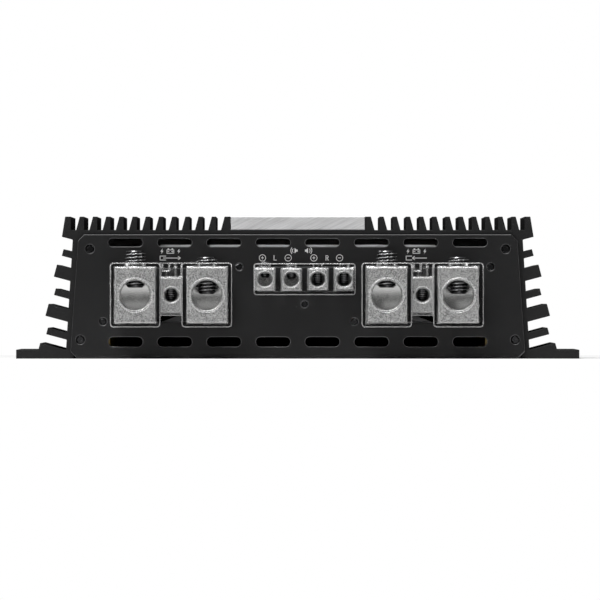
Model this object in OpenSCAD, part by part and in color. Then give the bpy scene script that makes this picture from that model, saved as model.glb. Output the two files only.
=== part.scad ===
// Car audio power amplifier: a finned extruded housing, a terminal end with clear
// covers over the clamping blocks, and a control end with jacks and trimmers.
// Frame: Z up, Y runs from the terminal end towards the control end, X across.
// Origin: the middle of the whole footprint, on the surface that the feet stand on.

/* [Housing] */
// Width across the side walls at the feet
body_w = 176.6; // [176:0.2:240]
// Length of the finned extrusion
body_l = 220; // [180:1:360]
// Height from the mounting surface to the fin tips
body_h = 54; // [53:0.5:75]
// Thickness of the side walls
wall_t = 3.2; // [2.4:0.1:5]
// Thickness of the deck under the fins
deck_t = 3.2; // [2.4:0.1:4]
// Lean of the side walls, degrees
wall_lean = 3.5; // [0:0.5:6]

/* [Top fins] */
// Height of the top fins above the deck
fin_h = 5.1; // [3:0.1:8]
// Number of top fins on each side, the corner fin included
fin_count = 12; // [6:1:16]
// Width of a top fin at its tip
fin_tip_w = 1.67; // [1:0.01:2.5]
// Width of a top fin at the deck
fin_root_w = 3.15; // [1.5:0.01:4]
// Extra width of the fin beside the trim plate
trim_fin_extra = 0.53; // [0:0.01:2]

/* [Side fins] */
// Pairs of one thin and one thick fin above the lowest pair
side_pairs = 2; // [1:1:4]
// Upward tilt of the side fins, degrees
side_tilt = 15; // [0:1:25]
// Thickness of a thin side fin
thin_fin_t = 2.65; // [1.5:0.05:4]
// Thickness of a thick side fin
thick_fin_t = 4.78; // [3:0.01:6]
// Height of the thin fin's tip above the thick one below it
pair_rise = 5.85; // [4:0.05:8]

/* [Mounting feet] */
// Width of each foot beyond the side wall
foot_w = 18.75; // [16:0.05:30]
// Thickness of the feet
foot_t = 3.4; // [2:0.1:6]
// Diameter of the mounting holes
mount_hole_d = 4.6; // [3:0.1:6]
// Distance from a mounting hole to the end of the extrusion
mount_hole_end = 16; // [8:1:40]

/* [Trim plate] */
// Width of the brushed plate between the fin banks
trim_w = 51; // [30:0.5:70]
// Wall of the brushed plate
trim_t = 1.6; // [1:0.1:3]

/* [End plates] */
// Thickness of the two end plates
plate_t = 2.5; // [1.5:0.1:4]
// Inset of the end plates from the outside of the side walls
plate_inset = 1.9; // [1:0.1:3]
// Chamfer of the end plates' corners
plate_chamfer = 2.3; // [1:0.1:4]
// Number of vent slots in each row
slot_count = 8; // [4:1:10]
// Pitch of the vent slots
slot_pitch = 18.7; // [16:0.1:24]
// Length of a vent slot
slot_l = 13; // [8:0.5:15]
// Height of the upper vent slots
upper_slot_h = 3; // [2:0.1:3.4]
// Height of the lower vent slots
lower_slot_h = 3.6; // [2:0.1:4.4]
// Diameter of the end plate screws
plate_screw_d = 2.9; // [2:0.1:3.4]
// Thickness of the bottom cover
bottom_t = 1.6; // [1:0.1:2]

/* [Power terminals] */
// Distance from the middle to the centre of the left power group
left_group_x = -48.1; // [-50:0.1:-46]
// Distance from the middle to the centre of the right power group
right_group_x = 47.4; // [47:0.1:52]
// Height of the power terminals' centre
power_z = 24.2; // [23:0.1:26]
// Distance of each power block from its group's centre
block_offset = 13.6; // [13:0.1:14]
// Width of a power block
block_w = 14.8; // [13:0.1:15.2]
// Height of a power block
block_h = 20.8; // [18:0.1:21]
// Diameter of a power block's wire bore
power_bore_d = 11.5; // [9:0.1:12]
// Depth of the clear entry of the wire bore
power_entry = 6.5; // [4:0.1:8]
// Depth from the end plate to the front of a power cover
cover_depth = 18; // [17:0.5:26]
// Diameter of the power set screws
power_screw_d = 8; // [6:0.5:8]
// Length of the power set screws
power_screw_l = 14; // [12:0.5:14.5]

/* [Remote terminals] */
// Width of a remote block
remote_w = 7.7; // [6:0.1:7.7]
// Height of a remote block
remote_h = 13; // [11:0.1:14]
// Diameter of a remote block's wire bore
remote_bore_d = 5.3; // [4:0.1:5.6]

/* [Speaker terminals] */
// Number of speaker blocks
speaker_count = 4; // [2:2:4]
// Pitch of the speaker blocks
speaker_pitch = 10; // [9:0.1:10.4]
// Distance from the middle to the centre of the speaker group
speaker_x = 2.6; // [0:0.1:3]
// Height of the speaker terminals' centre
speaker_z = 30.2; // [29:0.1:32]
// Width of a speaker block
speaker_w = 6.9; // [6:0.1:7.4]
// Height of a speaker block
speaker_h = 7.9; // [7:0.1:8.2]
// Diameter of a speaker block's wire bore
speaker_bore_d = 5.5; // [4:0.1:5.7]
// Diameter of the remote and speaker set screws
small_screw_d = 4; // [3:0.5:4]
// Length of the remote and speaker set screws
small_screw_l = 6.3; // [5:0.1:6.6]
// Depth from the end plate to the front of the speaker cover
small_depth = 13; // [12.5:0.5:18]
// Depth of the clear entry of the small wire bores
small_entry = 4.6; // [3:0.1:5]

/* [Control end] */
// Number of rotary trimmers
pot_count = 4; // [2:1:4]
// Pitch of the rotary trimmers
pot_pitch = 15; // [14:0.5:16]
// Diameter of a trimmer's shaft
pot_shaft_d = 6; // [4:0.5:7]
// Reach of a trimmer's shaft past the control plate
pot_reach = 3; // [1:0.5:6]
// Outer diameter of a phono jack's barrel
jack_d = 8.3; // [8:0.1:9]
// Reach of a phono jack past the control plate
jack_reach = 9; // [7:0.5:10]
// Travel of the slide switch to each side of its middle
switch_travel = 2; // [1:0.5:2.5]

/* [Hidden] */
$fn = 48;

// Clearances
free_gap = 0.3;
slide_gap = 0.1;
thread_gap = 0.06;
shaft_gap = 0.05;

// Lengthwise stations, from the front of the power covers to the tips of the jacks
overall_l = cover_depth + plate_t + body_l + plate_t + jack_reach;
plate_front = -overall_l / 2 + cover_depth;
body_front = plate_front + plate_t;
body_back = body_front + body_l;
control_face = body_back + plate_t;

// Section of the extrusion
deck_top = body_h - fin_h;
deck_bottom = deck_top - deck_t;
fin_overlap = 0.4;
corner_tip_w = 2.2;
corner_flare = 1.25;
corner_drop = 7.7;
corner_root_drop = 4;
corner_offset = 0.9;
first_fin_x = trim_w / 2 + 5.5;
corner_x = wall_x(deck_top) + corner_offset;
fin_pitch = (corner_x - first_fin_x) / (fin_count - 1);
thick_low = [wall_x(0) + 9.6, 6];
thick_high = [wall_x(deck_top) + 6.2, deck_top - 13.1];
thin_low_x = wall_x(0) + 6.65;
thin_high_x = wall_x(deck_top) + 3.7;

// Screw ports that run the length of the extrusion
port_r = 3.3;
upper_port = [wall_x(deck_bottom - 4) - 6.75, deck_bottom - 4];
lower_port = [wall_x(7.2) - 5.25, 7.2];
plate_screw_l = 9;
bottom_floor = 0.6;
ledge_z = bottom_floor + bottom_t;
ledge_t = 2;
ledge_w = 10;
bottom_screw_d = 2.9;
bottom_screw_x = wall_x(0) - 9.8;
bottom_screw_y = body_l / 2 - 14;

// End plates
plate_low = 0.4;
plate_high = deck_top - 1.7;
upper_slot_z = deck_top - 4.8;
lower_slot_z = 6.4;

// Terminal bases and covers
lobe_wall = 1.95;
lobe_w = block_w + 2 * (lobe_wall + 0.25);
lobe_h = block_h + 2 * lobe_wall - 0.1;
lobe_r = 1.4;
front_wall = 1.2;
block_front = plate_front - cover_depth + front_wall + free_gap;
block_d = plate_front - block_front;
power_screw_y = block_front + power_entry + 0.35 + power_screw_d / 2;
power_bore_end = block_front + block_d - 1.2;
bore_step = 0.2;
bridge_w = 2 * block_offset - lobe_w;
bridge_h = remote_h + 7.2;
bridge_depth = small_depth + 0.6;
notch_w = 2.4;
notch_h = 3.6;
base_t = 3;
boss_w = 2 * block_offset + block_w - 1;
boss_h = block_h - 0.6;
flange_w = 2 * block_offset + lobe_w + 1;
flange_h = lobe_h + 1.4;
base_screw_at = [[-25.9, -10.1], [25.9, 10.7]];
base_ear_r = 3.4;
base_screw_d = 2.5;
neck_w = 9;
neck_h = 12;
small_neck = 3.6;
small_front = plate_front - small_depth + front_wall + free_gap;
small_d = plate_front - small_front;
remote_front = plate_front - bridge_depth + front_wall + free_gap;
small_back_wall = 1;
remote_screw_y = remote_front + small_entry + 0.3 + small_screw_d / 2;
speaker_screw_y = small_front + small_entry + 0.3 + small_screw_d / 2;
speaker_cover_w = (speaker_count - 1) * speaker_pitch + speaker_w + 1.8;
speaker_cover_h = speaker_h + 4.2;
speaker_cover_r = 1.1;
speaker_boss_w = speaker_cover_w - 3.4;
speaker_boss_h = speaker_cover_h - 3;
speaker_flange_h = speaker_cover_h + 1.4;
speaker_ear_z = speaker_z - 9.5;

// Tips of the set screws above their bores' centres, as the object stands
power_tips = [2.8, 0.4, 2.8, 0.4];
speaker_tips = [0.5, 0, -2.2, -2.2];
remote_tip = -2.1;
// Sockets and chamfered points of the set screws
power_point = 1.3;
power_socket_depth = 5;
small_point = 1;
small_socket_depth = 2.5;

// Heads of the other screws: diameter and height
plate_head = [4.6, 1.4];
base_head = [4, 1.3];
trim_head = [5, 1.6];
bottom_head = [5, bottom_floor - 0.05];
board_head = [5, 1.8];
clamp_head = [5.4, 1.8];
bolt_head = [9, 3.2];

// Circuit board and what stands on it
board_t = 1.6;
board_low = lower_port[1] + port_r + 1;
board_top = board_low + board_t;
board_edge = wall_x(board_top) - wall_t - 2.4;
board_front = body_front + 12;
board_back = body_back - 4;
board_l = board_back - board_front;
board_hole_at = [board_edge - 9, board_l / 2 - 7];
board_mid = (board_front + board_back) / 2;
standoff_r = 3;
standoff_hole_d = 2.6;
tall_space = deck_bottom - board_top;
bus_y = body_front + base_t;
bar_t = 1.5;
bar_w = 9;
small_bar_t = 0.8;
bolt_d = 5;
coil_r = 23;
coil_hole_r = 9;
coil_h = 20;
coil_gap = 6;
coil_y = board_mid - 14;
winding_t = 2;
choke_r = 13;
choke_hole_r = 5;
choke_h = 12;
can_d = 16;
can_count = 6;
can_pitch = 18;
can_h = tall_space - 2.2;
transistor = [4.8, 15.6, 20];
transistor_count = 8;
transistor_pitch = 22;
transistor_z = board_top + 4;
lead_w = 1.2;
lead_pitch = 5.4;
pad_t = 0.3;
clamp_z = transistor_z + transistor[2] * 0.5;
clamp_bar = [2, transistor_count * transistor_pitch, 9];
clamp_screw_d = 2.9;

// Control end
jack_x = [-63, -45];
jack_z = [board_top + 6, board_top + 20];
jack_pin_d = 3.2;
jack_floor = 2;
jack_body = [13, 12, 26];
leg_w = 0.8;
leg_inset = 2;
sleeve_t = 0.45;
sleeve_collar = 1.2;
pot_x = -20;
pot_z = board_top + 12;
pot_body = [12, 8, 12];
pot_bush_l = 1.5;
pot_hole_d = pot_shaft_d + 1.4;
slot_depth = 1.2;
switch_at = [47, pot_z];
switch_size = [14, 7, 9];
slider_size = [4, 4.4];
slider_reach = 2.5;
switch_floor = 1.5;
level_size = [15, 13, 15];
level_at = [
  min(62.5, board_hole_at[0] - board_head[0] / 2 - slide_gap - level_size[0] / 2),
  board_top + level_size[2] / 2
];
led_d = 3;
led_at = [74.5, board_top + 22];
led_pitch = 6;
led_reach = 0.8;
level_open = [10, 8.5, 7];

// Outside of a side wall at a height, and the inside at the same height
function wall_x(z) = body_w / 2 - z * tan(wall_lean);
function inner_x(z) = wall_x(z) - wall_t;
function between(a, b, share) = a + (b - a) * share;

function power_x(i) = (i < 2 ? left_group_x : right_group_x) + (i % 2 == 0 ? -1 : 1) * block_offset;
function speaker_block_x(i) = speaker_x + (i - (speaker_count - 1) / 2) * speaker_pitch;

// ---------- shared shapes ----------

// A solid that runs along +Y from station y, from an outline drawn in X and Z
module along_y(y, length)
  translate([0, y + length, 0]) rotate([90, 0, 0]) linear_extrude(length) children();

module box_y(x, y, z, w, d, h)
  translate([x - w / 2, y, z - h / 2]) cube([w, d, h]);

module rod_y(x, y, z, d, length)
  translate([x, y, z]) rotate([-90, 0, 0]) cylinder(d = d, h = length);

module rounded_rect(w, h, r) {
  square([w - 2 * r, h], center = true);
  square([w, h - 2 * r], center = true);
  for (sx = [-1, 1], sz = [-1, 1])
    translate([sx * (w / 2 - r), sz * (h / 2 - r)]) circle(r);
}

module both_sides() {
  children();
  mirror([1, 0, 0]) children();
}

module pan_screw(d, length, head) {
  difference() {
    cylinder(d = head[0], h = head[1]);
    translate([0, 0, head[1] * 0.4]) linear_extrude(head[1]) {
      square([head[0] * 0.62, head[0] * 0.16], center = true);
      square([head[0] * 0.16, head[0] * 0.62], center = true);
    }
  }
  translate([0, 0, -length]) cylinder(d = d, h = length);
}

// Screw whose head rests on a face at station y and points to -Y
module screw_front(x, y, z, d, length, head)
  translate([x, y, z]) rotate([90, 0, 0]) pan_screw(d, length, head);

module port_points()
  for (side = [-1, 1], p = [upper_port, lower_port])
    translate([side * p[0], 0, p[1]]) children();

// ---------- housing ----------

module top_fin(near_x, tip_w, root_w)
  polygon([
    [near_x, deck_top - fin_overlap], [near_x, body_h],
    [near_x + tip_w, body_h], [near_x + root_w, deck_top - fin_overlap]
  ]);

module corner_fin()
  polygon([
    [corner_x, body_h], [corner_x, deck_top - fin_overlap],
    [wall_x(deck_top) - 1, deck_top - fin_overlap],
    [wall_x(deck_top) - 1, deck_top - corner_root_drop],
    [corner_x + corner_tip_w + corner_flare, body_h - corner_drop],
    [corner_x + corner_tip_w, body_h]
  ]);

module side_fin(tip_x, tip_z, t) {
  reach = (tip_x - wall_x(tip_z) + 0.55 * wall_t) / cos(side_tilt);
  run() translate([tip_x, tip_z]) rotate(side_tilt) translate([-reach, -t]) square([reach, t]);
}

module side_fins()
  for (k = [0:side_pairs]) {
    share = k / side_pairs;
    thick_z = between(thick_low[1], thick_high[1], share);
    side_fin(between(thick_low[0], thick_high[0], share), thick_z, k == 0 ? thin_fin_t : thick_fin_t);
    side_fin(between(thin_low_x, thin_high_x, share), thick_z + pair_rise, thin_fin_t);
  }

module run() along_y(body_front, body_l) children();

// One outline closed across the middle, from the right half's points
module mirrored_polygon(points)
  polygon(concat(points, [for (i = [len(points) - 1:-1:0]) [-points[i][0], points[i][1]]]));

module channel()
  mirrored_polygon([
    [inner_x(deck_bottom), deck_bottom], [inner_x(0), 0],
    [wall_x(0) + foot_w, 0], [wall_x(0) + foot_w, foot_t], [wall_x(foot_t), foot_t],
    [wall_x(deck_top - corner_root_drop), deck_top - corner_root_drop],
    [corner_x + 0.2, deck_top]
  ]);

module side_profile() {
  for (k = [0:fin_count - 2])
    run() top_fin(first_fin_x + k * fin_pitch, fin_tip_w, fin_root_w);
  run() top_fin(trim_w / 2 + slide_gap, fin_tip_w + trim_fin_extra, fin_root_w + trim_fin_extra);
  run() corner_fin();
  side_fins();
  run() translate(upper_port) circle(port_r);
  run() translate([upper_port[0] - port_r, upper_port[1]])
    square([2 * port_r, deck_bottom - upper_port[1] + fin_overlap]);
  run() translate(lower_port) circle(port_r);
  run() translate([inner_x(0) - ledge_w + 1, ledge_z]) square([ledge_w, ledge_t]);
}

module clamp_screw_points()
  for (k = [0:transistor_count])
    translate([0, board_mid + (k - transistor_count / 2) * transistor_pitch, 0]) children();

// Upright on the inside of the right wall at height z, leaning with the wall
module on_wall(z)
  translate([inner_x(z), 0, z]) rotate([0, -wall_lean, 0]) children();

module heatsink_housing()
  color([0.13, 0.13, 0.14])
    difference() {
      union() {
        run() channel();
        both_sides() side_profile();
      }
      port_points() rod_y(0, body_front - 1, 0, plate_screw_d + 2 * thread_gap, body_l + 2);
      for (side = [-1, 1], end = [-1, 1])
        translate([
          side * (wall_x(0) + foot_w - 4.25), (body_front + body_back) / 2
          + end * (body_l / 2 - mount_hole_end), -1
        ]) cylinder(d = mount_hole_d, h = foot_t + 2);
      bottom_screw_points() translate([0, 0, -1])
        cylinder(d = bottom_screw_d + 2 * thread_gap, h = ledge_z + ledge_t + 2);
      trim_screw_points() translate([0, 0, deck_bottom - 1])
        cylinder(d = bottom_screw_d + 2 * thread_gap, h = deck_t + 2);
      both_sides() on_wall(clamp_z) clamp_screw_points() translate([-1, 0, 0])
        rotate([0, 90, 0]) cylinder(d = clamp_screw_d + 2 * thread_gap, h = 1 + wall_t * 0.8);
    }

module trim_screw_points()
  for (side = [-1, 1], end = [-1, 0, 1])
    translate([
      side * (trim_w / 2 - 9), (body_front + body_back) / 2 + end * (body_l / 2 - 14), 0
    ]) children();

module top_trim_plate()
  color([0.78, 0.78, 0.79])
    difference() {
      union() {
        difference() {
          translate([-trim_w / 2, body_front, deck_top]) cube([trim_w, body_l, fin_h + 0.1]);
          translate([-trim_w / 2 + trim_t, body_front + trim_t, deck_top - 1])
            cube([trim_w - 2 * trim_t, body_l - 2 * trim_t, fin_h + 1.1 - trim_t]);
        }
        trim_screw_points() translate([0, 0, deck_top]) cylinder(r = 3.5, h = fin_h - 0.5);
      }
      trim_screw_points() translate([0, 0, deck_top - 1])
        cylinder(d = bottom_screw_d + 2 * thread_gap, h = fin_h - trim_t + 0.6);
    }

module trim_plate_screws()
  color("silver")
    trim_screw_points() translate([0, 0, deck_bottom]) mirror([0, 0, 1])
      pan_screw(bottom_screw_d, deck_t + fin_h - trim_t - 1, trim_head);

module bottom_screw_points()
  for (side = [-1, 1], end = [-1, 0, 1])
    translate([
      side * bottom_screw_x, (body_front + body_back) / 2 + end * bottom_screw_y, 0
    ]) children();

module bottom_cover()
  color([0.16, 0.16, 0.17])
    difference() {
      translate([-inner_x(0) + 1, body_front + free_gap, bottom_floor])
        cube([2 * inner_x(0) - 2, body_l - 2 * free_gap, bottom_t]);
      bottom_screw_points() cylinder(d = bottom_screw_d + 0.4, h = 2 * ledge_z);
      standoff_points() cylinder(d = standoff_hole_d + 0.4, h = 2 * ledge_z);
    }

module bottom_cover_screws()
  color("dimgray")
    bottom_screw_points() translate([0, 0, bottom_floor]) mirror([0, 0, 1])
      pan_screw(bottom_screw_d, bottom_t + ledge_t - 0.2, bottom_head);

// ---------- end plates ----------

module plate_outline() {
  side_low = wall_x(plate_low) - plate_inset;
  side_high = wall_x(plate_high) - plate_inset;
  mirrored_polygon([
    [side_low - plate_chamfer, plate_low], [side_low, plate_low + plate_chamfer],
    [side_high, plate_high - plate_chamfer], [side_high - plate_chamfer, plate_high]
  ]);
}

module slot_row(z, h)
  for (k = [0:slot_count - 1])
    translate([(k - (slot_count - 1) / 2) * slot_pitch, z]) {
      square([slot_l - h, h], center = true);
      for (side = [-1, 1]) translate([side * (slot_l - h) / 2, 0]) circle(d = h);
    }

module plate_blank(y)
  difference() {
    along_y(y, plate_t) difference() {
      plate_outline();
      children();
    }
    port_points() rod_y(0, y - 1, 0, plate_screw_d + 0.5, plate_t + 2);
  }

module terminal_end_plate()
  color([0.12, 0.12, 0.13])
    difference() {
      plate_blank(plate_front) {
        slot_row(upper_slot_z, upper_slot_h);
        slot_row(lower_slot_z, lower_slot_h);
      }
      for (x = [left_group_x, right_group_x]) {
        box_y(x, plate_front - 1, power_z, boss_w + 2 * slide_gap, plate_t + 2, boss_h + 2 * slide_gap);
        base_screw_points(x) rod_y(0, plate_front - 1, 0, base_screw_d + 0.4, plate_t + 2);
      }
      box_y(speaker_x, plate_front - 1, speaker_z, speaker_boss_w + 2 * slide_gap, plate_t + 2,
        speaker_boss_h + 2 * slide_gap);
      rod_y(speaker_x, plate_front - 1, speaker_ear_z, base_screw_d + 0.4, plate_t + 2);
    }

module terminal_plate_screws()
  color("dimgray")
    port_points() screw_front(0, plate_front, 0, plate_screw_d, plate_screw_l, plate_head);

module control_end_plate()
  color([0.12, 0.12, 0.13])
    difference() {
      plate_blank(body_back);
      for (x = jack_x, z = jack_z) rod_y(x, body_back - 1, z, jack_d + 1, plate_t + 2);
      pot_points() rod_y(0, body_back - 1, 0, pot_hole_d, plate_t + 2);
      box_y(switch_at[0], body_back - 1, switch_at[1], slider_size[0] + 2 * switch_travel + 1,
        plate_t + 2, slider_size[1] + 1);
      box_y(level_at[0], body_back - 1, level_at[1], level_open[0], plate_t + 2, level_open[2]);
      led_points() rod_y(0, body_back - 1, 0, led_d + 2 * slide_gap, plate_t + 2);
    }

module control_plate_screws()
  color("dimgray")
    port_points() translate([0, control_face, 0]) rotate([-90, 0, 0])
      pan_screw(plate_screw_d, plate_screw_l, plate_head);

// ---------- power and remote terminals ----------

module base_screw_points(x)
  for (p = base_screw_at) translate([x + p[0], 0, power_z + p[1]]) children();

module power_base(x)
  color([0.1, 0.1, 0.1])
    difference() {
      union() {
        box_y(x, plate_front, power_z, boss_w, plate_t + base_t, boss_h);
        box_y(x, body_front, power_z, flange_w, base_t, flange_h);
        base_screw_points(x) rod_y(0, body_front, 0, 2 * base_ear_r, base_t);
      }
      for (side = [-1, 1])
        box_y(x + side * block_offset, plate_front - 1, power_z, neck_w + 2 * slide_gap,
          plate_t + base_t + 2, neck_h + 2 * slide_gap);
      box_y(x, plate_front - 1, power_z, small_neck + 2 * slide_gap, plate_t + base_t + 2,
        small_neck + 2 * slide_gap);
      base_screw_points(x)
        rod_y(0, plate_front, 0, base_screw_d + 2 * thread_gap, plate_t + base_t + 4);
    }

module power_base_left() power_base(left_group_x);
module power_base_right() power_base(right_group_x);

module power_cover(x)
  color([0.85, 0.9, 0.95, 0.35])
    difference() {
      union() {
        for (side = [-1, 1])
          along_y(plate_front - cover_depth, cover_depth)
            translate([x + side * block_offset, power_z]) rounded_rect(lobe_w, lobe_h, lobe_r);
        box_y(x, plate_front - bridge_depth, power_z + lobe_h / 2 - bridge_h / 2,
          bridge_w + 1, bridge_depth, bridge_h);
      }
      for (side = [-1, 1]) {
        block_x = x + side * block_offset;
        box_y(block_x, plate_front - cover_depth + front_wall, power_z,
          block_w + 0.5, cover_depth, block_h + 0.4);
        rod_y(block_x, plate_front - cover_depth - 1, power_z, power_bore_d + 1.4, front_wall + 2);
        translate([block_x, power_screw_y, power_z]) cylinder(d = power_screw_d + 1, h = lobe_h);
      }
      box_y(x, plate_front - bridge_depth + front_wall, power_z, remote_w + 0.3,
        bridge_depth, remote_h + 0.4);
      rod_y(x, plate_front - bridge_depth - 1, power_z, remote_bore_d + 1, front_wall + 2);
      translate([x, remote_screw_y, power_z]) cylinder(d = small_screw_d + 1, h = lobe_h);
      box_y(x - bridge_w / 4, plate_front - bridge_depth - 1,
        power_z + lobe_h / 2 - notch_h / 2 + 0.5, notch_w, bridge_depth, notch_h);
    }

module power_cover_left() power_cover(left_group_x);
module power_cover_right() power_cover(right_group_x);

// A clamping block: wire bore from the front, tapped hole from the top, neck to the inside.
// The bore steps in slightly behind the entry, where the set screw presses on the wire.
module clamp_block(x, z, front, depth, w, h, bore_d, entry, bore_end, screw_y, screw_d, neck)
  color([0.75, 0.74, 0.7])
    difference() {
      union() {
        box_y(x, front, z, w, depth, h);
        box_y(x, front + 1, z, neck[0], depth - 1 + plate_t + base_t, neck[1]);
      }
      rod_y(x, front - 1, z, bore_d, entry + 1);
      rod_y(x, front, z, bore_d - 2 * bore_step, bore_end - front);
      translate([x, screw_y, z]) cylinder(d = screw_d + 2 * thread_gap, h = h);
      if (neck[2] > 0)
        rod_y(x, plate_front - 0.6, z, neck[2] + 2 * thread_gap, plate_t + base_t + 2);
    }

module power_block(i)
  clamp_block(power_x(i), power_z, block_front, block_d, block_w, block_h, power_bore_d,
    power_entry, power_bore_end, power_screw_y, power_screw_d, [neck_w, neck_h, bolt_d]);

module power_block_1() power_block(0);
module power_block_2() power_block(1);
module power_block_3() power_block(2);
module power_block_4() power_block(3);

module remote_block(x)
  clamp_block(x, power_z, remote_front, plate_front - remote_front, remote_w, remote_h,
    remote_bore_d, small_entry, plate_front - small_back_wall, remote_screw_y, small_screw_d,
    [small_neck, small_neck, 0]);

module remote_block_left() remote_block(left_group_x);
module remote_block_right() remote_block(right_group_x);

// Grub screw with a hexagonal socket in its top, standing on its point at height z
module set_screw(x, y, z, d, length, point, socket_depth)
  color([0.7, 0.7, 0.7])
    translate([x, y, z]) difference() {
      union() {
        cylinder(d1 = d - 2 * point, d2 = d, h = point);
        translate([0, 0, point]) cylinder(d = d, h = length - point);
      }
      translate([0, 0, length - socket_depth])
        cylinder(d = d / 2 / cos(30), h = socket_depth + 1, $fn = 6);
    }

module power_set_screw(i)
  set_screw(power_x(i), power_screw_y, power_z + power_tips[i], power_screw_d, power_screw_l,
    power_point, power_socket_depth);

module power_set_screw_1() power_set_screw(0);
module power_set_screw_2() power_set_screw(1);
module power_set_screw_3() power_set_screw(2);
module power_set_screw_4() power_set_screw(3);

module remote_set_screw(x)
  set_screw(x, remote_screw_y, power_z + remote_tip, small_screw_d, small_screw_l,
    small_point, small_socket_depth);

module remote_set_screw_left() remote_set_screw(left_group_x);
module remote_set_screw_right() remote_set_screw(right_group_x);

// ---------- speaker terminals ----------

module speaker_base()
  color([0.1, 0.1, 0.1])
    difference() {
      union() {
        box_y(speaker_x, plate_front, speaker_z, speaker_boss_w, plate_t + base_t, speaker_boss_h);
        box_y(speaker_x, body_front, speaker_z, speaker_cover_w + 1, base_t, speaker_flange_h);
        rod_y(speaker_x, body_front, speaker_ear_z, 2 * base_ear_r, base_t);
        box_y(speaker_x, body_front, speaker_z - speaker_flange_h / 2, 2 * base_ear_r, base_t,
          2 * base_ear_r);
      }
      for (i = [0:speaker_count - 1])
        box_y(speaker_block_x(i), plate_front - 1, speaker_z, small_neck + 2 * slide_gap,
          plate_t + base_t + 2, small_neck + 2 * slide_gap);
      rod_y(speaker_x, plate_front, speaker_ear_z, base_screw_d + 2 * thread_gap,
        plate_t + base_t + 4);
    }

module speaker_cover()
  color([0.85, 0.9, 0.95, 0.35])
    difference() {
      along_y(plate_front - small_depth, small_depth)
        translate([speaker_x, speaker_z])
          rounded_rect(speaker_cover_w, speaker_cover_h, speaker_cover_r);
      for (i = [0:speaker_count - 1]) {
        box_y(speaker_block_x(i), plate_front - small_depth + front_wall, speaker_z,
          speaker_w + 0.4, small_depth, speaker_h + 0.4);
        rod_y(speaker_block_x(i), plate_front - small_depth - 1, speaker_z,
          speaker_bore_d + 0.6, front_wall + 2);
        translate([speaker_block_x(i), speaker_screw_y, speaker_z])
          cylinder(d = small_screw_d + 0.8, h = speaker_cover_h);
      }
    }

module speaker_block(i)
  clamp_block(speaker_block_x(i), speaker_z, small_front, small_d, speaker_w, speaker_h,
    speaker_bore_d, small_entry, plate_front - small_back_wall, speaker_screw_y,
    small_screw_d, [small_neck, small_neck, 0]);

module speaker_block_1() speaker_block(0);
module speaker_block_2() speaker_block(1);
module speaker_block_3() speaker_block(2);
module speaker_block_4() speaker_block(3);

module speaker_set_screw(i)
  set_screw(speaker_block_x(i), speaker_screw_y, speaker_z + speaker_tips[i], small_screw_d,
    small_screw_l, small_point, small_socket_depth);

module speaker_set_screw_1() speaker_set_screw(0);
module speaker_set_screw_2() speaker_set_screw(1);
module speaker_set_screw_3() speaker_set_screw(2);
module speaker_set_screw_4() speaker_set_screw(3);

module terminal_base_screws()
  color("dimgray") {
    for (x = [left_group_x, right_group_x])
      base_screw_points(x)
        screw_front(0, plate_front, 0, base_screw_d, plate_t + base_t + 2, base_head);
    screw_front(speaker_x, plate_front, speaker_ear_z, base_screw_d, plate_t + base_t + 2, base_head);
  }

// ---------- inside ----------

module bus_bars()
  color([0.72, 0.45, 0.3]) {
    for (i = [0:3])
      difference() {
        union() {
          box_y(power_x(i), bus_y, (power_z + 6 + board_top) / 2, bar_w, bar_t,
            power_z + 6 - board_top);
          translate([power_x(i) - bar_w / 2, bus_y, board_top])
            cube([bar_w, board_front + 8 - bus_y, bar_t]);
        }
        rod_y(power_x(i), bus_y - 1, power_z, bolt_d + 0.4, bar_t + 2);
      }
    for (x = [left_group_x, right_group_x]) small_bar(x, power_z);
    for (i = [0:speaker_count - 1]) small_bar(speaker_block_x(i), speaker_z);
  }

module small_bar(x, z) {
  box_y(x, bus_y, (z + small_neck / 2 + board_top) / 2, small_neck, small_bar_t,
    z + small_neck / 2 - board_top);
  translate([x - small_neck / 2, bus_y, board_top])
    cube([small_neck, board_front + 3 - bus_y, small_bar_t]);
}

module bus_bar_bolts() {
  shaft_l = bar_t + base_t + plate_t + 0.4;
  color("silver")
    for (i = [0:3])
      translate([power_x(i), bus_y + bar_t, power_z]) rotate([-90, 0, 0]) {
        cylinder(d = bolt_head[0], h = bolt_head[1], $fn = 6);
        translate([0, 0, -shaft_l]) cylinder(d = bolt_d, h = shaft_l);
      }
}

module standoff_points()
  for (sx = [-1, 1], sy = [-1, 0, 1])
    translate([sx * board_hole_at[0], board_mid + sy * board_hole_at[1], 0]) children();

module main_circuit_board()
  color([0.1, 0.32, 0.16])
    difference() {
      translate([-board_edge, board_front, board_low]) cube([2 * board_edge, board_l, board_t]);
      standoff_points() cylinder(d = standoff_hole_d + 0.6, h = body_h / 2);
    }

module board_standoffs()
  color([0.8, 0.68, 0.35])
    standoff_points() difference() {
      union() {
        translate([0, 0, ledge_z]) cylinder(r = standoff_r, h = board_low - ledge_z, $fn = 6);
        translate([0, 0, bottom_floor]) cylinder(d = standoff_hole_d + 0.3, h = bottom_t);
      }
      translate([0, 0, board_low - 6]) cylinder(d = standoff_hole_d - 0.1 + 2 * thread_gap, h = 7);
    }

module board_screws()
  color("silver")
    standoff_points() translate([0, 0, board_top])
      pan_screw(standoff_hole_d - 0.1, board_t + 4, board_head);

module coil_points()
  for (side = [-1, 1])
    translate([side * (coil_r + winding_t + coil_gap), coil_y, board_top + winding_t + coil_h / 2])
      children();

module ring(outer_r, inner_r, h, bevel)
  rotate_extrude()
    polygon([
      [inner_r, -h / 2 + bevel], [inner_r + bevel, -h / 2], [outer_r - bevel, -h / 2],
      [outer_r, -h / 2 + bevel], [outer_r, h / 2 - bevel], [outer_r - bevel, h / 2],
      [inner_r + bevel, h / 2], [inner_r, h / 2 - bevel]
    ]);

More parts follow.
